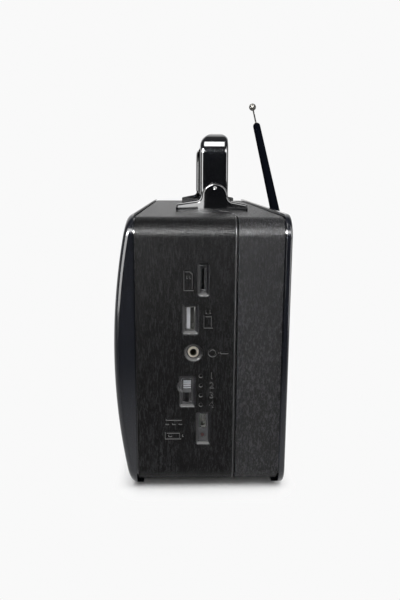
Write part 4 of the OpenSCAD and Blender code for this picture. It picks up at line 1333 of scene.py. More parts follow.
@dataclass
class SideMarks(Assembly):
    """Plain signs pressed into the leather beside the sockets, with black linings.

    A frame is a closed line round corners (y, z). A bar is its middle and its size along y and z.
    The four stops are the heights of the band switch's positions, each with a dot and a number.
    """

    wall_x: float = 135.0
    depth: float = 0.36
    slope: float = 0.28
    back: float = 0.6
    line: float = 1.0
    frames: tuple[tuple[Pair, ...], ...] = (
        ((26.0, 111.6), (31.4, 111.6), (31.4, 120.8), (29.6, 122.6), (26.0, 122.6)),
        ((36.7, 91.2), (41.7, 91.2), (41.7, 98.4), (36.7, 98.4)),
        ((15.6, 27.6), (24.6, 27.6), (24.6, 32.0), (15.6, 32.0)))
    card_pins: tuple[Quad, ...] = ((27.9, 118.9, 0.8, 1.9), (29.5, 118.9, 0.8, 1.9))
    plug_pins: tuple[Quad, ...] = ((38.1, 100.3, 0.85, 2.2), (40.3, 100.3, 0.85, 2.2))
    jack: tuple[Quad, ...] = ((48.0, 77.6, 4.6, 1.5), (45.0, 77.6, 0.8, 0.8))
    jack_ring: Triple = (41.6, 77.6, 2.5)
    direct_current: tuple[Quad, ...] = ((20.6, 39.1, 9.0, 0.95), (17.0, 36.6, 2.1, 0.95),
                                        (20.6, 36.6, 2.1, 0.95), (24.2, 36.6, 2.1, 0.95))
    battery: tuple[Quad, ...] = ((25.6, 29.8, 0.85, 1.7), (18.5, 29.8, 2.4, 1.7))
    stops: tuple[float, ...] = (64.5, 59.1, 53.4, 47.9)
    dot_y: float = 35.35
    dot_r: float = 1.15
    number_y: float = 41.4
    number_size: float = 5.2

    def build(self, lining: Finish) -> None:
        """Builds the linings of the signs as one piece, painted paler as light where their walls look
        up and back along y.

        Args:
            lining: Their finish.
        """
        bm = bmesh.new()
        for part in self.flats():
            self.press(part)
            join(bm, part)
        # Painted light on the sign walls that look up and back along y.
        PaintedLitFaces.mark(bm, 0.7, 0.6)
        self.add(bm, "side_signs", lining, "cabinet", "leather", crease=30)

    def flats(self) -> list[BMesh]:
        """Every sign as flat faces on the side wall.

        Returns:
            A mesh for each sign.
        """
        bars = (*self.card_pins, *self.plug_pins, *self.jack, *self.direct_current, *self.battery)
        dots = [(self.dot_y, z, 2 * self.dot_r, 2 * self.dot_r) for z in self.stops]
        found = [self.frame(corners) for corners in self.frames]
        found.append(self.ring(*self.jack_ring))
        found += [self.bar(*bar) for bar in (*bars, *dots)]
        found += [self.number(str(number), z) for number, z in enumerate(self.stops, 1)]
        return found

    def thicken(self, part: BMesh) -> list[BMFace]:
        """Thickens flat faces into the wall.

        Args:
            part: The flat faces.

        Returns:
            The faces at the wall's surface.
        """
        made = bmesh.ops.extrude_face_region(part, geom=part.faces[:])["geom"]
        bmesh.ops.translate(part, vec=(-self.back, 0, 0),
                            verts=[item for item in made if isinstance(item, BMVert)])
        bmesh.ops.recalc_face_normals(part, faces=part.faces)
        return [face for face in part.faces if face.calc_center_median().x > self.wall_x - 0.01]

    def press(self, part: BMesh) -> None:
        """Turns flat faces into a lining: a floor below the surface with sloping borders.

        Args:
            part: The flat faces.
        """
        floor = self.thicken(part)
        bmesh.ops.inset_region(part, faces=floor, thickness=self.slope, use_even_offset=True)
        sunk = {vert for face in floor for vert in face.verts}
        bmesh.ops.translate(part, vec=(-self.depth, 0, 0), verts=list(sunk))

    def pocket(self, part: BMesh) -> None:
        """Turns flat faces into a pocket that is open at the surface."""
        bmesh.ops.delete(part, geom=self.thicken(part), context="FACES_ONLY")

    def hollow(self, part: BMesh) -> BMesh:
        """Leaves a line along the border of flat faces.

        Args:
            part: The flat faces.

        Returns:
            The same mesh.
        """
        part.normal_update()
        inside = part.faces[:]
        bmesh.ops.inset_region(part, faces=inside, thickness=self.line, use_boundary=True,
                               use_even_offset=True)
        bmesh.ops.delete(part, geom=inside, context="FACES")
        return part

    def frame(self, corners: Sequence[Pair]) -> BMesh:
        """A closed line round some corners.

        Args:
            corners: The corners, as (y, z).

        Returns:
            The flat line.
        """
        part = bmesh.new()
        made = [bmesh.ops.create_vert(part, co=(self.wall_x, y, z))["vert"][0] for y, z in corners]
        bmesh.ops.contextual_create(part, geom=made)
        return self.hollow(part)

    def ring(self, y: float, z: float, radius: float) -> BMesh:
        """A round line.

        Args:
            y: Its middle along y.
            z: Its middle's height.
            radius: Its outer radius.

        Returns:
            The flat line.
        """
        part = bmesh.new()
        place = Matrix.Translation((self.wall_x, y, z)) @ Matrix.Rotation(math.pi / 2, 4, "Y")
        bmesh.ops.create_circle(part, cap_ends=True, segments=28, radius=radius, matrix=place)
        return self.hollow(part)

    def bar(self, y: float, z: float, w: float, h: float) -> BMesh:
        """A short bar with round ends.

        Args:
            y: Its middle along y.
            z: Its middle's height.
            w: Its width.
            h: Its height.

        Returns:
            The flat bar.
        """
        part = bmesh.new()
        rect = Rect(w / 2, h / 2, y, z, min(w, h) / 2 * 0.96)
        spots = rect.spots(5)
        loft = Loft(part, len(spots))
        loft.ring([(self.wall_x, *rect.at(spot)) for spot in spots])
        loft.cap(0)
        part.normal_update()
        return part

    def number(self, text: str, z: float) -> BMesh:
        """A number beside a dot.

        Args:
            text: The number.
            z: The height of its middle.

        Returns:
            The flat number.
        """
        glyphs = lettering(text, self.number_size, 0.0, 0.035)
        glyphs.transform(Matrix(((0, 0, 1, self.wall_x), (1, 0, 0, self.number_y), (0, 1, 0, z),
                                 (0, 0, 0, 1))))
        part = bmesh.new()
        part.from_mesh(glyphs)
        bpy.data.meshes.remove(glyphs)
        bmesh.ops.remove_doubles(part, verts=part.verts, dist=SAME)
        part.normal_update()
        return part


def lettering(text: str, size: float, rise: float, bold: float = 0.012) -> bpy.types.Mesh:
    """Numbers as a mesh in the xy plane, centred, with its back at z 0.

    Args:
        text: The numbers.
        size: Their size.
        rise: Their thickness.
        bold: How much wider their lines are on each side, as a share of their size.

    Returns:
        The mesh.
    """
    curve = bpy.data.curves.new("numbers", "FONT")
    curve.body = text
    curve.size = size
    curve.align_x = "CENTER"
    curve.align_y = "CENTER"
    curve.extrude = rise / 2
    curve.offset = bold * size
    curve.resolution_u = 3
    holder = stand("numbers", curve)
    bpy.context.view_layer.update()
    shaped = holder.evaluated_get(bpy.context.evaluated_depsgraph_get())
    mesh = bpy.data.meshes.new_from_object(shaped)
    bpy.data.objects.remove(holder)
    bpy.data.curves.remove(curve)
    mesh.transform(Matrix.Translation((0, 0, rise / 2)))
    return mesh


@dataclass
class Knob(Assembly):
    """A fluted knob with a skirt, an inlaid turned face and a pointer.

    It is named after its body. Its face and its foot are places along y, and z is its height.
    """

    name: str
    radius: float
    face: float
    foot: float
    z: float
    flutes: int
    x: float = 88.0
    flute: float = 0.75

    @property
    def grip(self) -> float:
        """Radius of the grip."""
        return self.radius - 1.6

    @property
    def dish(self) -> float:
        """Radius of the hollow in the face."""
        return self.grip - 2.4

    def build(self, finish: Finish, cap: Finish) -> None:
        """Builds the knob.

        Args:
            finish: Its finish.
            cap: The finish of the inlay in its face.
        """
        self.body(finish)
        self.inlay(cap)
        self.pointer()

    def body(self, finish: Finish) -> None:
        """The turned body.

        Args:
            finish: Its finish.
        """
        radius, grip, dish, face, foot = self.radius, self.grip, self.dish, self.face, self.foot
        skirt = foot - 2.6
        bm = bmesh.new()
        lathe(bm, [(0.0, face + 0.8), (dish - 0.3, face + 0.8), (dish, face + 0.6),
                   (dish + 0.1, face + 0.2), (dish + 0.35, face), (grip - 0.8, face),
                   (grip - 0.3, face + 0.15), (grip - 0.05, face + 0.5), (grip, face + 0.9),
                   (grip, skirt - 0.6), (grip, skirt), (grip + 0.05, skirt + 0.45),
                   (radius - 0.6, skirt + 0.6), (radius - 0.15, skirt + 0.8), (radius, skirt + 1.2),
                   (radius, foot - 0.3), (radius - 0.3, foot), (0.0, foot)], self.flutes * 6)
        self.press_flutes(bm, skirt)
        bmesh.ops.translate(bm, vec=(self.x, 0, self.z), verts=bm.verts)
        self.add(bm, self.name + "_grip", finish, self.name, "black_chrome",
                 [self.name + "_knob"], crease=38)

    def press_flutes(self, bm: BMesh, skirt: float) -> None:
        """Presses the flutes into the grip, which fade out where the skirt starts.

        Args:
            bm: The knob's mesh.
            skirt: Where the grip ends and the skirt starts.
        """
        for vert in bm.verts:
            across = math.hypot(vert.co.x, vert.co.z)
            if (self.grip - 0.4 < across < self.grip + 0.02
                    and self.face + 0.1 < vert.co.y < skirt + 0.2):
                turn = math.atan2(vert.co.z, vert.co.x) * self.flutes / 2
                depth = self.flute * abs(math.cos(turn)) ** 1.5
                if vert.co.y > skirt - 0.2:
                    depth *= 0.1
                pull = (across - depth) / across
                vert.co.x *= pull
                vert.co.z *= pull

    def inlay(self, cap: Finish) -> None:
        """The thin turned disc in the hollow of the face.

        Args:
            cap: Its finish.
        """
        face, dish = self.face, self.dish
        bm = bmesh.new()
        lathe(bm, [(0.0, face + 0.55), (dish - 1.1, face + 0.55), (dish - 0.85, face + 0.62),
                   (dish - 0.8, face + 0.85), (0.0, face + 0.85)], 96)
        bmesh.ops.translate(bm, vec=(self.x, 0, self.z), verts=bm.verts)
        self.add(bm, self.name + "_inlay", cap, self.name, "black_chrome", crease=30)

    def pointer(self) -> None:
        """The painted bar near the edge of the face."""
        low, high = self.dish - 3.4, self.grip - 1.0
        rect = Rect(0.55, (high - low) / 2, self.x, self.z + (high + low) / 2, 0.5)
        spots = rect.spots(4)
        bm = bmesh.new()
        loft = Loft(bm, len(spots))
        for inset, forward in ((0.0, -0.9), (0.0, 0.02), (0.12, 0.14)):
            loft.ring(rect.inset(inset).ring(spots, self.face - forward))
        loft.cap(0)
        loft.cap(-1)
        self.add(bm, self.name + "_pointer", PAINT_MARK, self.name, "dial_print")


@dataclass
class Dial(Assembly):
    """The printed scale of the tuning dial, and the two knobs."""

    x: float = 88.0
    z: float = 84.0
    face_y: float = -6.4
    numbers_r: float = 23.4
    number_size: float = 4.0
    ticks_r: float = 28.3
    inner_r: float = 19.1
    line_w: float = 0.22
    bold_w: float = 0.34
    line_rise: float = 0.03
    lengths: Triple = (2.6, 1.9, 1.1)
    first: float = 225.0
    turn: float = 270.0
    numbers: int = 11
    ticks: int = 50
    knobs: tuple[Knob, ...] = (Knob("tuning", 17.0, -14.5, -6.7, 84.0, 30),
                               Knob("volume", 12.0, -12.2, -4.5, 31.0, 22))

    def build(self, ink: Finish, finish: Finish, cap: Finish) -> None:
        """Builds the scale and both knobs.

        Args:
            ink: The print's finish.
            finish: The finish of the knobs.
            cap: The finish of the inlays in their faces.
        """
        self.scale(ink)
        for knob in self.knobs:
            knob.build(finish, cap)

    def angle(self, share: float) -> float:
        """The angle in radians at a share of the way round the scale."""
        return math.radians(self.first - self.turn * share)

    def tick(self, bm: BMesh, number: int) -> None:
        """One tick, long at every tenth and bold at every fifth.

        Args:
            bm: The scale's mesh.
            number: The tick's number from the start.
        """
        rank = 0 if number % 10 == 0 else 1 if number % 5 == 0 else 2
        length = self.lengths[rank]
        width = self.line_w if rank == 2 else self.bold_w
        made = bmesh.ops.create_cube(bm, size=1.0)["verts"]
        bmesh.ops.scale(bm, vec=(length, 2 * self.line_rise, width), verts=made)
        bmesh.ops.translate(bm, vec=(self.ticks_r - length / 2, 0, 0), verts=made)
        bmesh.ops.rotate(bm, cent=(0, 0, 0), verts=made,
                         matrix=Matrix.Rotation(-self.angle(number / self.ticks), 3, "Y"))

    def scale(self, ink: Finish) -> None:
        """Ticks and plain numbers round the dial, between two fine circles.

        Args:
            ink: The print's finish.
        """
        bm = bmesh.new()
        for number in range(self.ticks + 1):
            self.tick(bm, number)
        for radius in (self.ticks_r, self.inner_r):
            lathe(bm, [(radius + out * self.line_w, rise * self.line_rise)
                       for out, rise in ((0, -1), (1, -1), (1, 1), (0, 1), (0, -1))], 96)
        bmesh.ops.translate(bm, vec=(self.x, self.face_y, self.z), verts=bm.verts)
        for number in range(self.numbers):
            angle = self.angle(number / (self.numbers - 1))
            glyphs = lettering(str(number), self.number_size, 2 * self.line_rise)
            glyphs.transform(Matrix(((1, 0, 0, self.x + self.numbers_r * math.cos(angle)),
                                     (0, 0, -1, self.face_y + 0.02),
                                     (0, 1, 0, self.z + self.numbers_r * math.sin(angle)),
                                     (0, 0, 0, 1))))
            bm.from_mesh(glyphs)
            bpy.data.meshes.remove(glyphs)
        self.add(bm, "dial_scale", ink, "cabinet", "dial_print", weighted=False)


@dataclass
class Plugs(Assembly):
    """Plugs that close the ends of the baffle screws' holes, flush with the bowed panel."""

    xs: tuple[float, ...] = (-100.0, -42.0, 16.0)
    zs: tuple[float, ...] = (13.5, 136.5)
    radius: float = 1.2
    thick: float = 0.5
    set_back: float = 2.61
    bow: Bow = field(default_factory=Bow)

    def build(self, finish: Finish) -> None:
        """Builds the plugs.

        Args:
            finish: Their finish.
        """
        bm = bmesh.new()
        bow, curve = self.bow, self.bow.radius - self.set_back
        for x, z in itertools.product(self.xs, self.zs):
            y = bow.at(z, self.set_back)
            inward = (0.0, (bow.radius - bow.reach - y) / curve, (bow.mid_z - z) / curve)
            lathe(bm, [(0.0, 0.0), (self.radius, 0.0), (self.radius, self.thick),
                       (0.0, self.thick)], 24, (x, y, z), inward)
        self.add(bm, "screw_plugs", finish, "cabinet", "panel_plastic")


@dataclass
class Buttons(Assembly):
    """Four push buttons with dished caps."""

    xs: tuple[float, ...] = (68.5, 81.5, 94.5, 107.5)
    z: float = 128.0
    radius: float = 4.2
    back_y: float = 1.2

    def build(self, finish: Finish) -> None:
        """Builds the caps.

        Args:
            finish: Their finish.
        """
        for number, x in enumerate(self.xs, 1):
            low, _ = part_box(f"button_{number}")
            face = (low.y - Datum.point(0, 0, 0).y) / MM
            bm = bmesh.new()
            lathe(bm, [(0.0, face + 0.35), (1.6, face + 0.3), (2.9, face + 0.1),
                       (self.radius - 0.7, face), (self.radius - 0.25, face + 0.12),
                       (self.radius, face + 0.5), (self.radius, self.back_y), (0.0, self.back_y)], 48)
            bmesh.ops.translate(bm, vec=(x, 0, self.z), verts=bm.verts)
            self.add(bm, f"button_cap_{number}", finish, f"button_{number}", "button_plastic",
                     [f"button_{number}"], crease=35)


@dataclass(frozen=True)
class Bracket:
    """One bell-shaped bracket: a bowed foot with a dome, from its middle out along y."""

    front_arm: float = 23.5
    rear_arm: float = 20.7
    toe_z: float = 4.3
    toe_r: float = 1.2
    shoulder: Pair = (9.0, 6.7)
    fillet: Triple = (11.0, 9.3, 3.0)
    dome_r: float = 8.0
    dome_z: float = 9.1
    thick: float = 10.4
    bow_r: float = 38.39
    bow_y: float = -1.4
    edge: float = 1.1

    def half(self, arm: float) -> list[Triple]:
        """Places (y, z) and the angle of the outward normal, from a toe's foot to the top.

        Args:
            arm: The arm's length.

        Returns:
            The places.
        """
        lean = math.atan2(self.shoulder[1] - self.toe_z, arm - self.shoulder[0])
        steep = math.pi / 2 - lean
        toe = (arm - self.toe_r, self.toe_z + self.toe_r * (math.tan(lean) - 1 / math.cos(lean)))
        found = [(arm, 0.0, 0.0)]
        for (mid_y, mid_z, r), first, last, steps in (
                ((*toe, self.toe_r), 0.0, steep, 6), (self.fillet, steep, 0.0, 8),
                ((0.0, self.dome_z, self.dome_r), 0.0, math.pi / 2, 16)):
            way = -1 if first > last else 1
            for step in range(steps + 1):
                turn = first + (last - first) * step / steps
                found.append((mid_y + way * r * math.cos(turn),
                              mid_z + way * r * math.sin(turn), turn))
        return found

    def face(self, y: float) -> float:
        """How far the bowed face stands out at a place along y."""
        return self.thick - self.bow_r + math.sqrt(self.bow_r ** 2 - (y - self.bow_y) ** 2)

    def rings(self) -> list[list[Triple]]:
        """Its sections from toe to toe.

        Returns:
            The sections, each from the foot over the edge and back down.
        """
        way = [(-y, z, math.pi - turn) for y, z, turn in self.half(self.front_arm)]
        way += self.half(self.rear_arm)[-2::-1]
        found = []
        for y, z, turn in way:
            ring = [(0.0, y, 0.0), (0.0, y, z)]
            for back, forward in rounding(self.edge, 6):
                in_y, in_z = y - back * math.cos(turn), max(0.0, z - back * math.sin(turn))
                ring.append((self.face(in_y) - self.edge + forward, in_y, in_z))
            found.append([*ring, (ring[-1][0], ring[-1][1], 0.0)])
        return found


@dataclass
class Handle(Assembly):
    """The carrying strap and its two bell-shaped brackets."""

    y: float = 44.6
    z: float = 164.4
    top_z: float = 150.0
    outer_x: float = 73.0
    inner_x: float = 67.2
    width: float = 17.2
    thick: float = 5.5
    corner: float = 1.8
    bend_r: float = 9.0
    bend_z: float = 18.5
    bend_steps: int = 20
    top: float = 33.0
    foot: float = 7.5
    front_r: float = 8.0
    back_r: float = 4.0

    def build(self, finish: Finish, brackets: Finish) -> None:
        """Builds the strap and rounds the brackets.

        Args:
            finish: The strap's finish.
            brackets: The brackets' finish.
        """
        self.strap(finish)
        self.brackets(brackets)

    def brackets(self, finish: Finish) -> None:
        """Both brackets, the second turned half round.

        Args:
            finish: Their finish.
        """
        rings = Bracket().rings()
        bm = bmesh.new()
        for sign in (1, -1):
            loft = Loft(bm, len(rings[0]))
            for ring in rings:
                loft.ring([(sign * (self.outer_x + x), self.y + sign * y, self.top_z + z)
                           for x, y, z in ring])
            loft.cap(0)
            loft.cap(-1)
        bmesh.ops.remove_doubles(bm, verts=bm.verts, dist=SAME)
        self.add(bm, "bell_brackets", finish, "cabinet", "black_chrome", ["handle_brackets"], crease=35)

    def side(self, rise: float, sign: float) -> float:
        """How far the strap reaches across at a height above its pivot, seen from the end.

        Args:
            rise: The height above the pivot.
            sign: Minus one for the front and one for the back.

        Returns:
            The reach, never below nothing.
        """
        upper = self.front_r if sign < 0 else self.back_r
        cut = 0.0
        for radius, over in ((upper, rise - (self.top - upper)),
                             (self.back_r, self.back_r - self.foot - rise)):
            if over > 0:
                cut = radius - math.sqrt(max(0.0, radius ** 2 - over ** 2))
        return self.width / 2 - cut

    def section(self) -> list[Pair]:
        """The strap's section as (outwards, across)."""
        rect = Rect(self.thick / 2, self.width / 2, self.thick / 2, 0.0, self.corner)
        return [rect.at(spot) for spot in rect.spots(6, 0, 10)]

    def strap(self, finish: Finish) -> None:
        """The strap: leg, bend, top, bend and leg.

        Args:
            finish: Its finish.
        """
        bend_x = self.inner_x - self.bend_r
        low = [forward for _, forward in rounding(self.back_r, 6)]
        stations = [(self.inner_x, self.back_r - self.foot - rise, 0.0) for rise in reversed(low)]
        stations += [(self.inner_x, z, 0.0) for z in (4.0, 11.0, self.bend_z)]
        for number in range(1, self.bend_steps + 1):
            angle = math.pi / 2 * number / self.bend_steps
            stations.append((bend_x + self.bend_r * math.cos(angle),
                             self.bend_z + self.bend_r * math.sin(angle), angle))
        stations += [(bend_x * share, self.bend_z + self.bend_r, math.pi / 2)
                     for share in (0.66, 0.33, 0.0)]
        other = [(-x, z, math.pi - angle) for x, z, angle in stations[-2::-1]]
        bm = bmesh.new()
        loft = Loft(bm, len(self.section()))
        for x, z, angle in stations + other:
            ring = []
            for out, across in self.section():
                rise = z + out * math.sin(angle)
                share = self.side(rise, across) / (self.width / 2)
                ring.append((x + out * math.cos(angle), self.y + across * share, self.z + rise))
            loft.ring(ring)
        loft.cap(0)
        loft.cap(-1)
        ends = [edge for number in (0, -1) for edge in Loft.edges(loft.rings[number])]
        bmesh.ops.recalc_face_normals(bm, faces=bm.faces)
        round_edges(bm, ends, 0.5, 2)
        self.add(bm, "carrying_strap", finish, "handle", "black_chrome", ["handle_strap"], crease=40)


# ---------------------------------------------------------------- finishes of this radio


class Shade(Enum):
    """Colours of the radio's plainest surfaces."""

    BLACK = (0.0105, 0.0105, 0.0115)
    BLUE_BLACK = (0.0075, 0.0085, 0.0125)
    LEATHER = (0.0135, 0.0135, 0.0145)
    NICKEL = (0.66, 0.65, 0.63)
    PAPER = (0.62, 0.59, 0.5)


FRONT_LEATHER = Leather("front_leather_grain", (0.0045, 0.0045, 0.0047), 0.16, specular=0.088,
                        relief=0.0003)
REAR_LEATHER = Leather("rear_leather_grain", (0.0098, 0.0098, 0.0105), 0.26, specular=0.17,
                       relief=0.00013, upright=0.3, fine=1300.0)
RIM_GLOSS = Polished("rim_gloss", Shade.BLUE_BLACK.value, 0.14, specular=0.45, coat=0.3,
                     relief=0.000006)
HANDLE_GLOSS = Polished("handle_gloss", (0.004, 0.0045, 0.006), 0.06, specular=0.6, coat=1.0,
                        relief=0.000004)
BRACKET_GLOSS = replace(HANDLE_GLOSS, name="bracket_gloss", specular=0.5, coat=0.6)
PIVOT_CHROME = Polished("pivot_chrome", (0.34, 0.34, 0.34), 0.42, metal=0.2, relief=0.000004)
BUTTON_GLOSS = Polished("button_gloss", (0.016, 0.017, 0.019), 0.16, relief=0.00001)
KNOB_METAL = Polished("knob_black_chrome", (0.09, 0.092, 0.1), 0.14, metal=0.9, relief=0.000008)
PAINT_MARK = Finish("pointer_paint", (0.72, 0.7, 0.64), 0.45, grain=0.4, relief=0.00001)
# The pressed signs and the port walls carry painted light on faces that look up and back along y.
SIGN_LINING = PaintedLitFaces("pressed_sign", (0.003, 0.003, 0.0032), 0.4, specular=0.1, grain=0.4,
                    relief=0.00001)
PORT_PLASTIC = PaintedLitFaces("port_plastic", (0.008, 0.008, 0.0095), 0.36, specular=0.2, grain=0.4)
PIPING = Finish("seam_piping", Shade.LEATHER.value, 0.4, specular=0.35, coat=0.1, relief=0.00001)
# Painted shade: the steel of the two sockets is darkened, standing in for the shade inside their
# recesses.
SOCKET_STEEL_PAINTED_SHADE = Brushed("socket_steel_painted_shade", (0.1, 0.1, 0.096), 0.3, metal=1.0, relief=0.000006)
# Painted shade: the card slot and the band switch's body, seen through openings, are painted near
# black.
SLOT_PAINTED_SHADE = Finish("slot_painted_shade", (0.006, 0.006, 0.0065), 0.45, specular=0.3)
ROD_CHROME = Polished("rod_chrome", (0.17, 0.165, 0.155), 0.12, metal=1.0, relief=0.000004)
TIP_CHROME = replace(ROD_CHROME, name="tip_chrome", colour=(0.09, 0.087, 0.08), roughness=0.48)
SECTION_CHROME = replace(ROD_CHROME, name="section_chrome", colour=(0.6, 0.58, 0.52), metal=0.4,
                         roughness=0.3)

SLOT_FINISH: dict[str, Finish] = {
    "leather": FRONT_LEATHER,
    "shell_plastic": Finish("shell_plastic", Shade.BLACK.value, 0.5, specular=0.35, edge=0.00025),
    "rim_plastic": RIM_GLOSS,
    "panel_plastic": Finish("panel_plastic", (0.013, 0.0135, 0.0155), 0.36, specular=0.4, edge=0.0003,
                            grain=0.7, relief=0.00004),
    "chrome": Polished("bright_chrome", Shade.NICKEL.value, 0.08, metal=1.0, relief=0.000006),
    "black_chrome": HANDLE_GLOSS,
    "grille_metal": Finish("grille_paint", (0.03, 0.031, 0.034), 0.34, specular=0.5, grain=0.6,
                           relief=0.00003),
    "cloth": Woven("grille_weave", (0.014, 0.014, 0.015), 0.8, relief=0.00025),
    "fibreboard": Fibre("pressed_board", (0.19, 0.125, 0.07), 0.85, relief=0.0001),
    "pressed_steel": Brushed("pressed_steel", (0.36, 0.37, 0.38), 0.34, metal=1.0, relief=0.00001),
    "steel": Brushed("bright_steel", (0.62, 0.61, 0.59), 0.26, metal=1.0, relief=0.000006),
    "paper_cone": Fibre("paper_cone", (0.032, 0.03, 0.028), 0.9, relief=0.00008),
    "magnet": Fibre("magnet_ferrite", (0.09, 0.09, 0.095), 0.55, relief=0.00004),
    "dial_print": Spun("dial_face", Shade.PAPER.value, 0.38, metal=0.25, relief=0.000008,
                       variation=0.06),
    "component_grey": Brushed("component_can", (0.52, 0.53, 0.54), 0.3, metal=1.0, relief=0.00001),
    "button_plastic": BUTTON_GLOSS,
    "switch_plastic": Finish("switch_plastic", (0.012, 0.012, 0.014), 0.5, specular=0.3),
    "green_light": Lens("green_lens", (0.2, 0.62, 0.16), 0.2, centre=(0.061, -0.04825, 0.034),
                        size=0.002),
    "red_light": Lens("red_lens", (0.035, 0.006, 0.006), 0.2, glow=0.0,
                      centre=(0.13, -0.00125, 0.0323)),
    "circuit_board": Laminate("circuit_board", (0.02, 0.12, 0.05), 0.35, relief=0.00003),
    "ferrite": Fibre("ferrite_rod", (0.05, 0.05, 0.052), 0.5, relief=0.00003),
    "copper_wire": Wire("copper_winding", (0.5, 0.19, 0.08), 0.3, metal=0.7, relief=0.0001),
    "tongue_plastic": Finish("tongue_plastic", (0.4, 0.41, 0.43), 0.35, variation=0.1),
    "jack_metal": Collar("jack_collar", (0.62, 0.59, 0.5), 0.24, metal=1.0, relief=0.000006,
                         centre=(0.0, -0.00665, 0.0806)),
    "slider_plastic": Ribbed("slider_plastic", (0.3, 0.31, 0.33), 0.36, edge=0.0001),
    "cell_wrap": Polished("cell_wrap", (0.06, 0.15, 0.26), 0.25, relief=0.00002),
    "black_metal": Polished("black_lacquer", (0.0028, 0.0034, 0.0055), 0.2, specular=0.0,
                            relief=0.000003),
}


@dataclass
class PackedNodes:
    """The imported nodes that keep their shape."""

    special: dict[str, Finish] = field(default_factory=dict)

    def dress(self) -> None:
        """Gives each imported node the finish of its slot."""
        for part in frame["record"]["subparts"]:
            node = frame["nodes"][part["node"]]
            finish = self.special.get(part["node"], SLOT_FINISH[part["material_slot"]])
            node.data.materials.clear()
            node.data.materials.append(finish.material())
            for polygon in node.data.polygons:
                polygon.material_index = 0
            LOG.info("%s keeps its shape and wears %s", part["node"], finish.name)


# ---------------------------------------------------------------- studio


@dataclass(frozen=True)
class SoftBox:
    """A level soft box that only shows in reflections.

    Its edges are angles in degrees about the y axis, up from the front, and parts of a direction
    along y.
    """

    low: float
    high: float
    near: float
    far: float
    strength: float
    soft: float = 1.0

    def glow(self, graph: Graph, rise: Value, along: Value) -> Value:
        """Its strength in a direction.

        Args:
            graph: The surround's graph.
            rise: The direction's angle about the y axis.
            along: The direction's part along y.

        Returns:
            The strength.
        """
        inside: Term = self.strength
        for value, edge, soft in ((rise, math.radians(self.low), math.radians(self.soft)),
                                  (rise, math.radians(self.high), -math.radians(self.soft)),
                                  (along, self.near, 0.012), (along, self.far, -0.012)):
            inside = graph.between(value, edge - soft, edge + soft) * inside
        return inside


@dataclass(frozen=True)
class Lamp:
    """A soft rectangular lamp in metres and watts, seen by plain or by glossy surfaces."""

    name: str
    place: Triple
    target: Triple
    size: Pair
    watts: float
    glossy: bool = True

    def build(self) -> None:
        """Builds the lamp, turned to its target."""
        data = bpy.data.lights.new(self.name, "AREA")
        data.shape = "RECTANGLE"
        data.size, data.size_y = self.size
        data.energy = self.watts
        lamp = stand(self.name, data)
        lamp.location = self.place
        ahead = Vector(self.target) - Vector(self.place)
        lamp.rotation_euler = ahead.to_track_quat("-Z", "Y").to_euler()
        lamp.visible_glossy = self.glossy
        lamp.visible_diffuse = not self.glossy


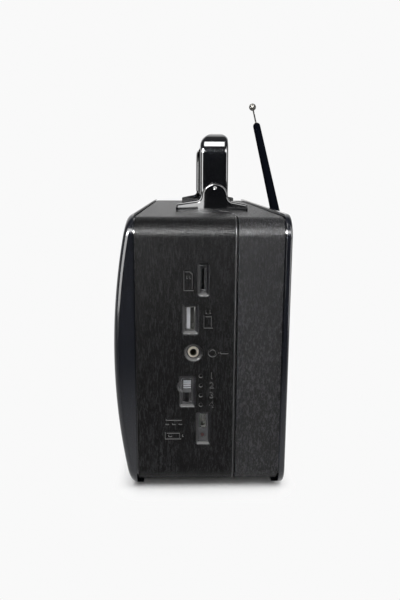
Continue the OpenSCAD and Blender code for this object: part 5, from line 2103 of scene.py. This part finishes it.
@dataclass
class Studio:
    """Floor, lights and camera, in metres and degrees.

    The floor keeps its paint from the radio's footprint to shade_from and fades into the
    surround by shade_to. The levels pale, plain, dim, wall, ceiling and flank are strengths of
    white: the seen one, the one that plain surfaces get, and those that reflections show.
    """

    eye: Triple = (0.4381, -0.01075, 0.1719)
    yaw: float = 1.43
    pitch: float = 11.59
    roll: float = 0.27
    lens: float = 35.052
    sensor: float = 36.0
    footprint: Pair = (0.13, 0.034)
    floor_shade: float = 0.86
    shade_from: float = 0.004
    shade_to: float = 0.018
    pale: float = 0.947
    plain: float = 0.46
    dim: float = 0.03
    wall: float = 0.9
    ceiling: float = 0.09
    flank: float = 0.22
    floor_r: float = 6.0
    boxes: tuple[SoftBox, ...] = (
        SoftBox(55.0, 80.0, 0.0, 0.09, 14.0),
        SoftBox(26.0, 40.0, -0.6, -0.03, 140.0, 3.0),
        SoftBox(26.0, 40.0, 0.12, 0.6, 12.0, 3.0))
    lamps: tuple[Lamp, ...] = (
        Lamp("overhead", (0.38, 0.0, 0.95), (0.05, 0.0, 0.1), (0.9, 0.7), 9.0, glossy=False),
        Lamp("left_box", (0.44, -0.235, 0.255), (0.136, -0.046, 0.13), (0.32, 0.5), 3.9),
        Lamp("right_box", (0.3, 0.354, 0.36), (0.136, 0.045, 0.36), (0.22, 0.38), 1.6),
        Lamp("low_box", (0.3, 0.354, 0.07), (0.136, 0.045, 0.07), (0.22, 0.13), 0.42))

    def build(self) -> None:
        """Builds the studio."""
        self.camera()
        self.world()
        self.floor()
        for lamp in self.lamps:
            lamp.build()
        bpy.context.scene.view_settings.view_transform = "Standard"

    def camera(self) -> None:
        """The camera at the viewing angle."""
        yaw, pitch, roll = (math.radians(angle) for angle in (self.yaw, self.pitch, self.roll))
        ahead = Vector((-math.cos(yaw) * math.cos(pitch), math.sin(yaw) * math.cos(pitch),
                        -math.sin(pitch)))
        right = Vector((math.sin(yaw), math.cos(yaw), 0.0))
        up = right.cross(ahead)
        turned_right = right * math.cos(roll) + up * math.sin(roll)
        turned_up = up * math.cos(roll) - right * math.sin(roll)
        data = bpy.data.cameras.new("camera")
        data.lens = self.lens
        data.sensor_width = self.sensor
        data.clip_start = 0.01
        data.clip_end = 50
        camera = stand("camera", data)
        turned = Matrix((turned_right, turned_up, -ahead)).transposed().to_4x4()
        camera.matrix_world = Matrix.Translation(self.eye) @ turned
        bpy.context.scene.camera = camera

    def world(self) -> None:
        """A surround that is white where it is seen, and a studio where it is reflected."""
        world = bpy.data.worlds.new("surround")
        bpy.context.scene.world = world
        world.use_nodes = True
        graph = Graph(world.node_tree)
        rays = graph.node("LightPath")
        reflected = graph.out(rays, "Is Glossy Ray")
        seen = graph.math("MAXIMUM", graph.out(rays, "Is Camera Ray"),
                          graph.out(rays, "Is Transmission Ray"))
        shader = world.node_tree.nodes["Background"]
        shader.inputs["Color"].default_value = (1.0, 1.0, 1.0, 1.0)
        level = self.plain + seen * (self.pale - self.plain)
        graph.feed(shader.inputs["Strength"], level + reflected * (self.studio(graph) - level))

    def studio(self, graph: Graph) -> Value:
        """What a glossy surface sees in each direction.

        Args:
            graph: The surround's graph.

        Returns:
            The strength: a white wall behind, a dim room with pale flanks, and the soft boxes.
        """
        toward = graph.out(graph.node("TexCoord"), "Generated")
        x, y, z = (graph.part(toward, axis) for axis in "XYZ")
        rise = graph.math("ARCTAN2", z, x)
        ceiling = self.ceiling * graph.between(z, 0.3, 0.7) * graph.between(x, -0.62, -0.4)
        flanks = self.flank * graph.between(graph.math("ABSOLUTE", y), 0.75, 0.97)
        strength = self.dim + self.wall * graph.between(x, -0.4, -0.62) + ceiling + flanks
        for box in self.boxes:
            strength = strength + box.glow(graph, rise, y)
        return strength

    def floor(self) -> None:
        """A pale floor that keeps the shadow and fades into the surround."""
        bm = bmesh.new()
        bmesh.ops.create_circle(bm, cap_ends=True, segments=96, radius=self.floor_r)
        mesh = bpy.data.meshes.new("floor")
        bm.to_mesh(mesh)
        bm.free()
        mesh.materials.append(self.floor_paint())
        floor = stand("floor", mesh)

    def floor_paint(self) -> bpy.types.Material:
        """The floor's paint, which is plain near the radio and glows white away from it.

        Returns:
            The material.
        """
        material = bpy.data.materials.new("floor_paint")
        material.use_nodes = True
        graph = Graph(material.node_tree)
        shader = material.node_tree.nodes["Principled BSDF"]
        shader.inputs["Base Color"].default_value = (*[self.floor_shade] * 3, 1.0)
        shader.inputs["Roughness"].default_value = 0.7
        shader.inputs["Specular IOR Level"].default_value = 0.1
        sides = (graph.math("ABSOLUTE", graph.part(graph.place(), axis)) for axis in "XY")
        out_x, out_y = (graph.math("MAXIMUM", side - half, 0.0)
                        for side, half in zip(sides, self.footprint))
        away = (out_x ** 2 + out_y ** 2) ** 0.5
        front = graph.between(graph.part(graph.place(), "X"), 0.1, 0.4)
        rays = graph.node("LightPath")
        reflected = graph.out(rays, "Is Glossy Ray")
        seen = graph.math("MAXIMUM", graph.out(rays, "Is Camera Ray"), graph.math(
            "MAXIMUM", reflected, graph.out(rays, "Is Transmission Ray")))
        level = self.pale + reflected * front * (self.dim * 2 - self.pale)
        glow = graph.node("Emission", {}, {"Color": (1.0, 1.0, 1.0, 1.0), "Strength": level})
        far = graph.math("MAXIMUM", graph.between(away, self.shade_from, self.shade_to),
                         reflected * front) * seen
        mixed = graph.node("MixShader", {}, {0: far, 1: graph.out(shader), 2: graph.out(glow)})
        output = material.node_tree.nodes["Material Output"]
        graph.feed(output.inputs["Surface"], graph.out(mixed))
        return material


def main() -> None:
    """Builds every sub-assembly and reports it."""
    logging.basicConfig(level=logging.INFO, format="%(name)s: %(message)s")
    # The slots, the switch body and the sockets wear darkened finishes as painted shade.
    PackedNodes({"handle_pivots": PIVOT_CHROME, "card_slot": SLOT_PAINTED_SHADE, "usb_socket": SOCKET_STEEL_PAINTED_SHADE,
                 "charge_socket": SOCKET_STEEL_PAINTED_SHADE, "band_switch": SLOT_PAINTED_SHADE, "aerial_tip": TIP_CHROME,
                 "aerial_section_4": SECTION_CHROME, "aerial_section_3": ROD_CHROME,
                 "aerial_section_2": ROD_CHROME}).dress()
    Studio().build()
    Cabinet().build(FRONT_LEATHER, REAR_LEATHER)
    Rims().build(RIM_GLOSS)
    SideMarks().build(SIGN_LINING)
    Dial().build(Finish("dial_ink", (0.02, 0.02, 0.022), 0.5), KNOB_METAL,
                 Spun("knob_face", (0.3, 0.3, 0.31), 0.22, metal=1.0, relief=0.00001))
    Buttons().build(BUTTON_GLOSS)
    Plugs().build(replace(SLOT_FINISH["panel_plastic"], name="plug_plastic", edge=0.0))
    Handle().build(HANDLE_GLOSS, BRACKET_GLOSS)


if __name__ == "__main__":
    main()
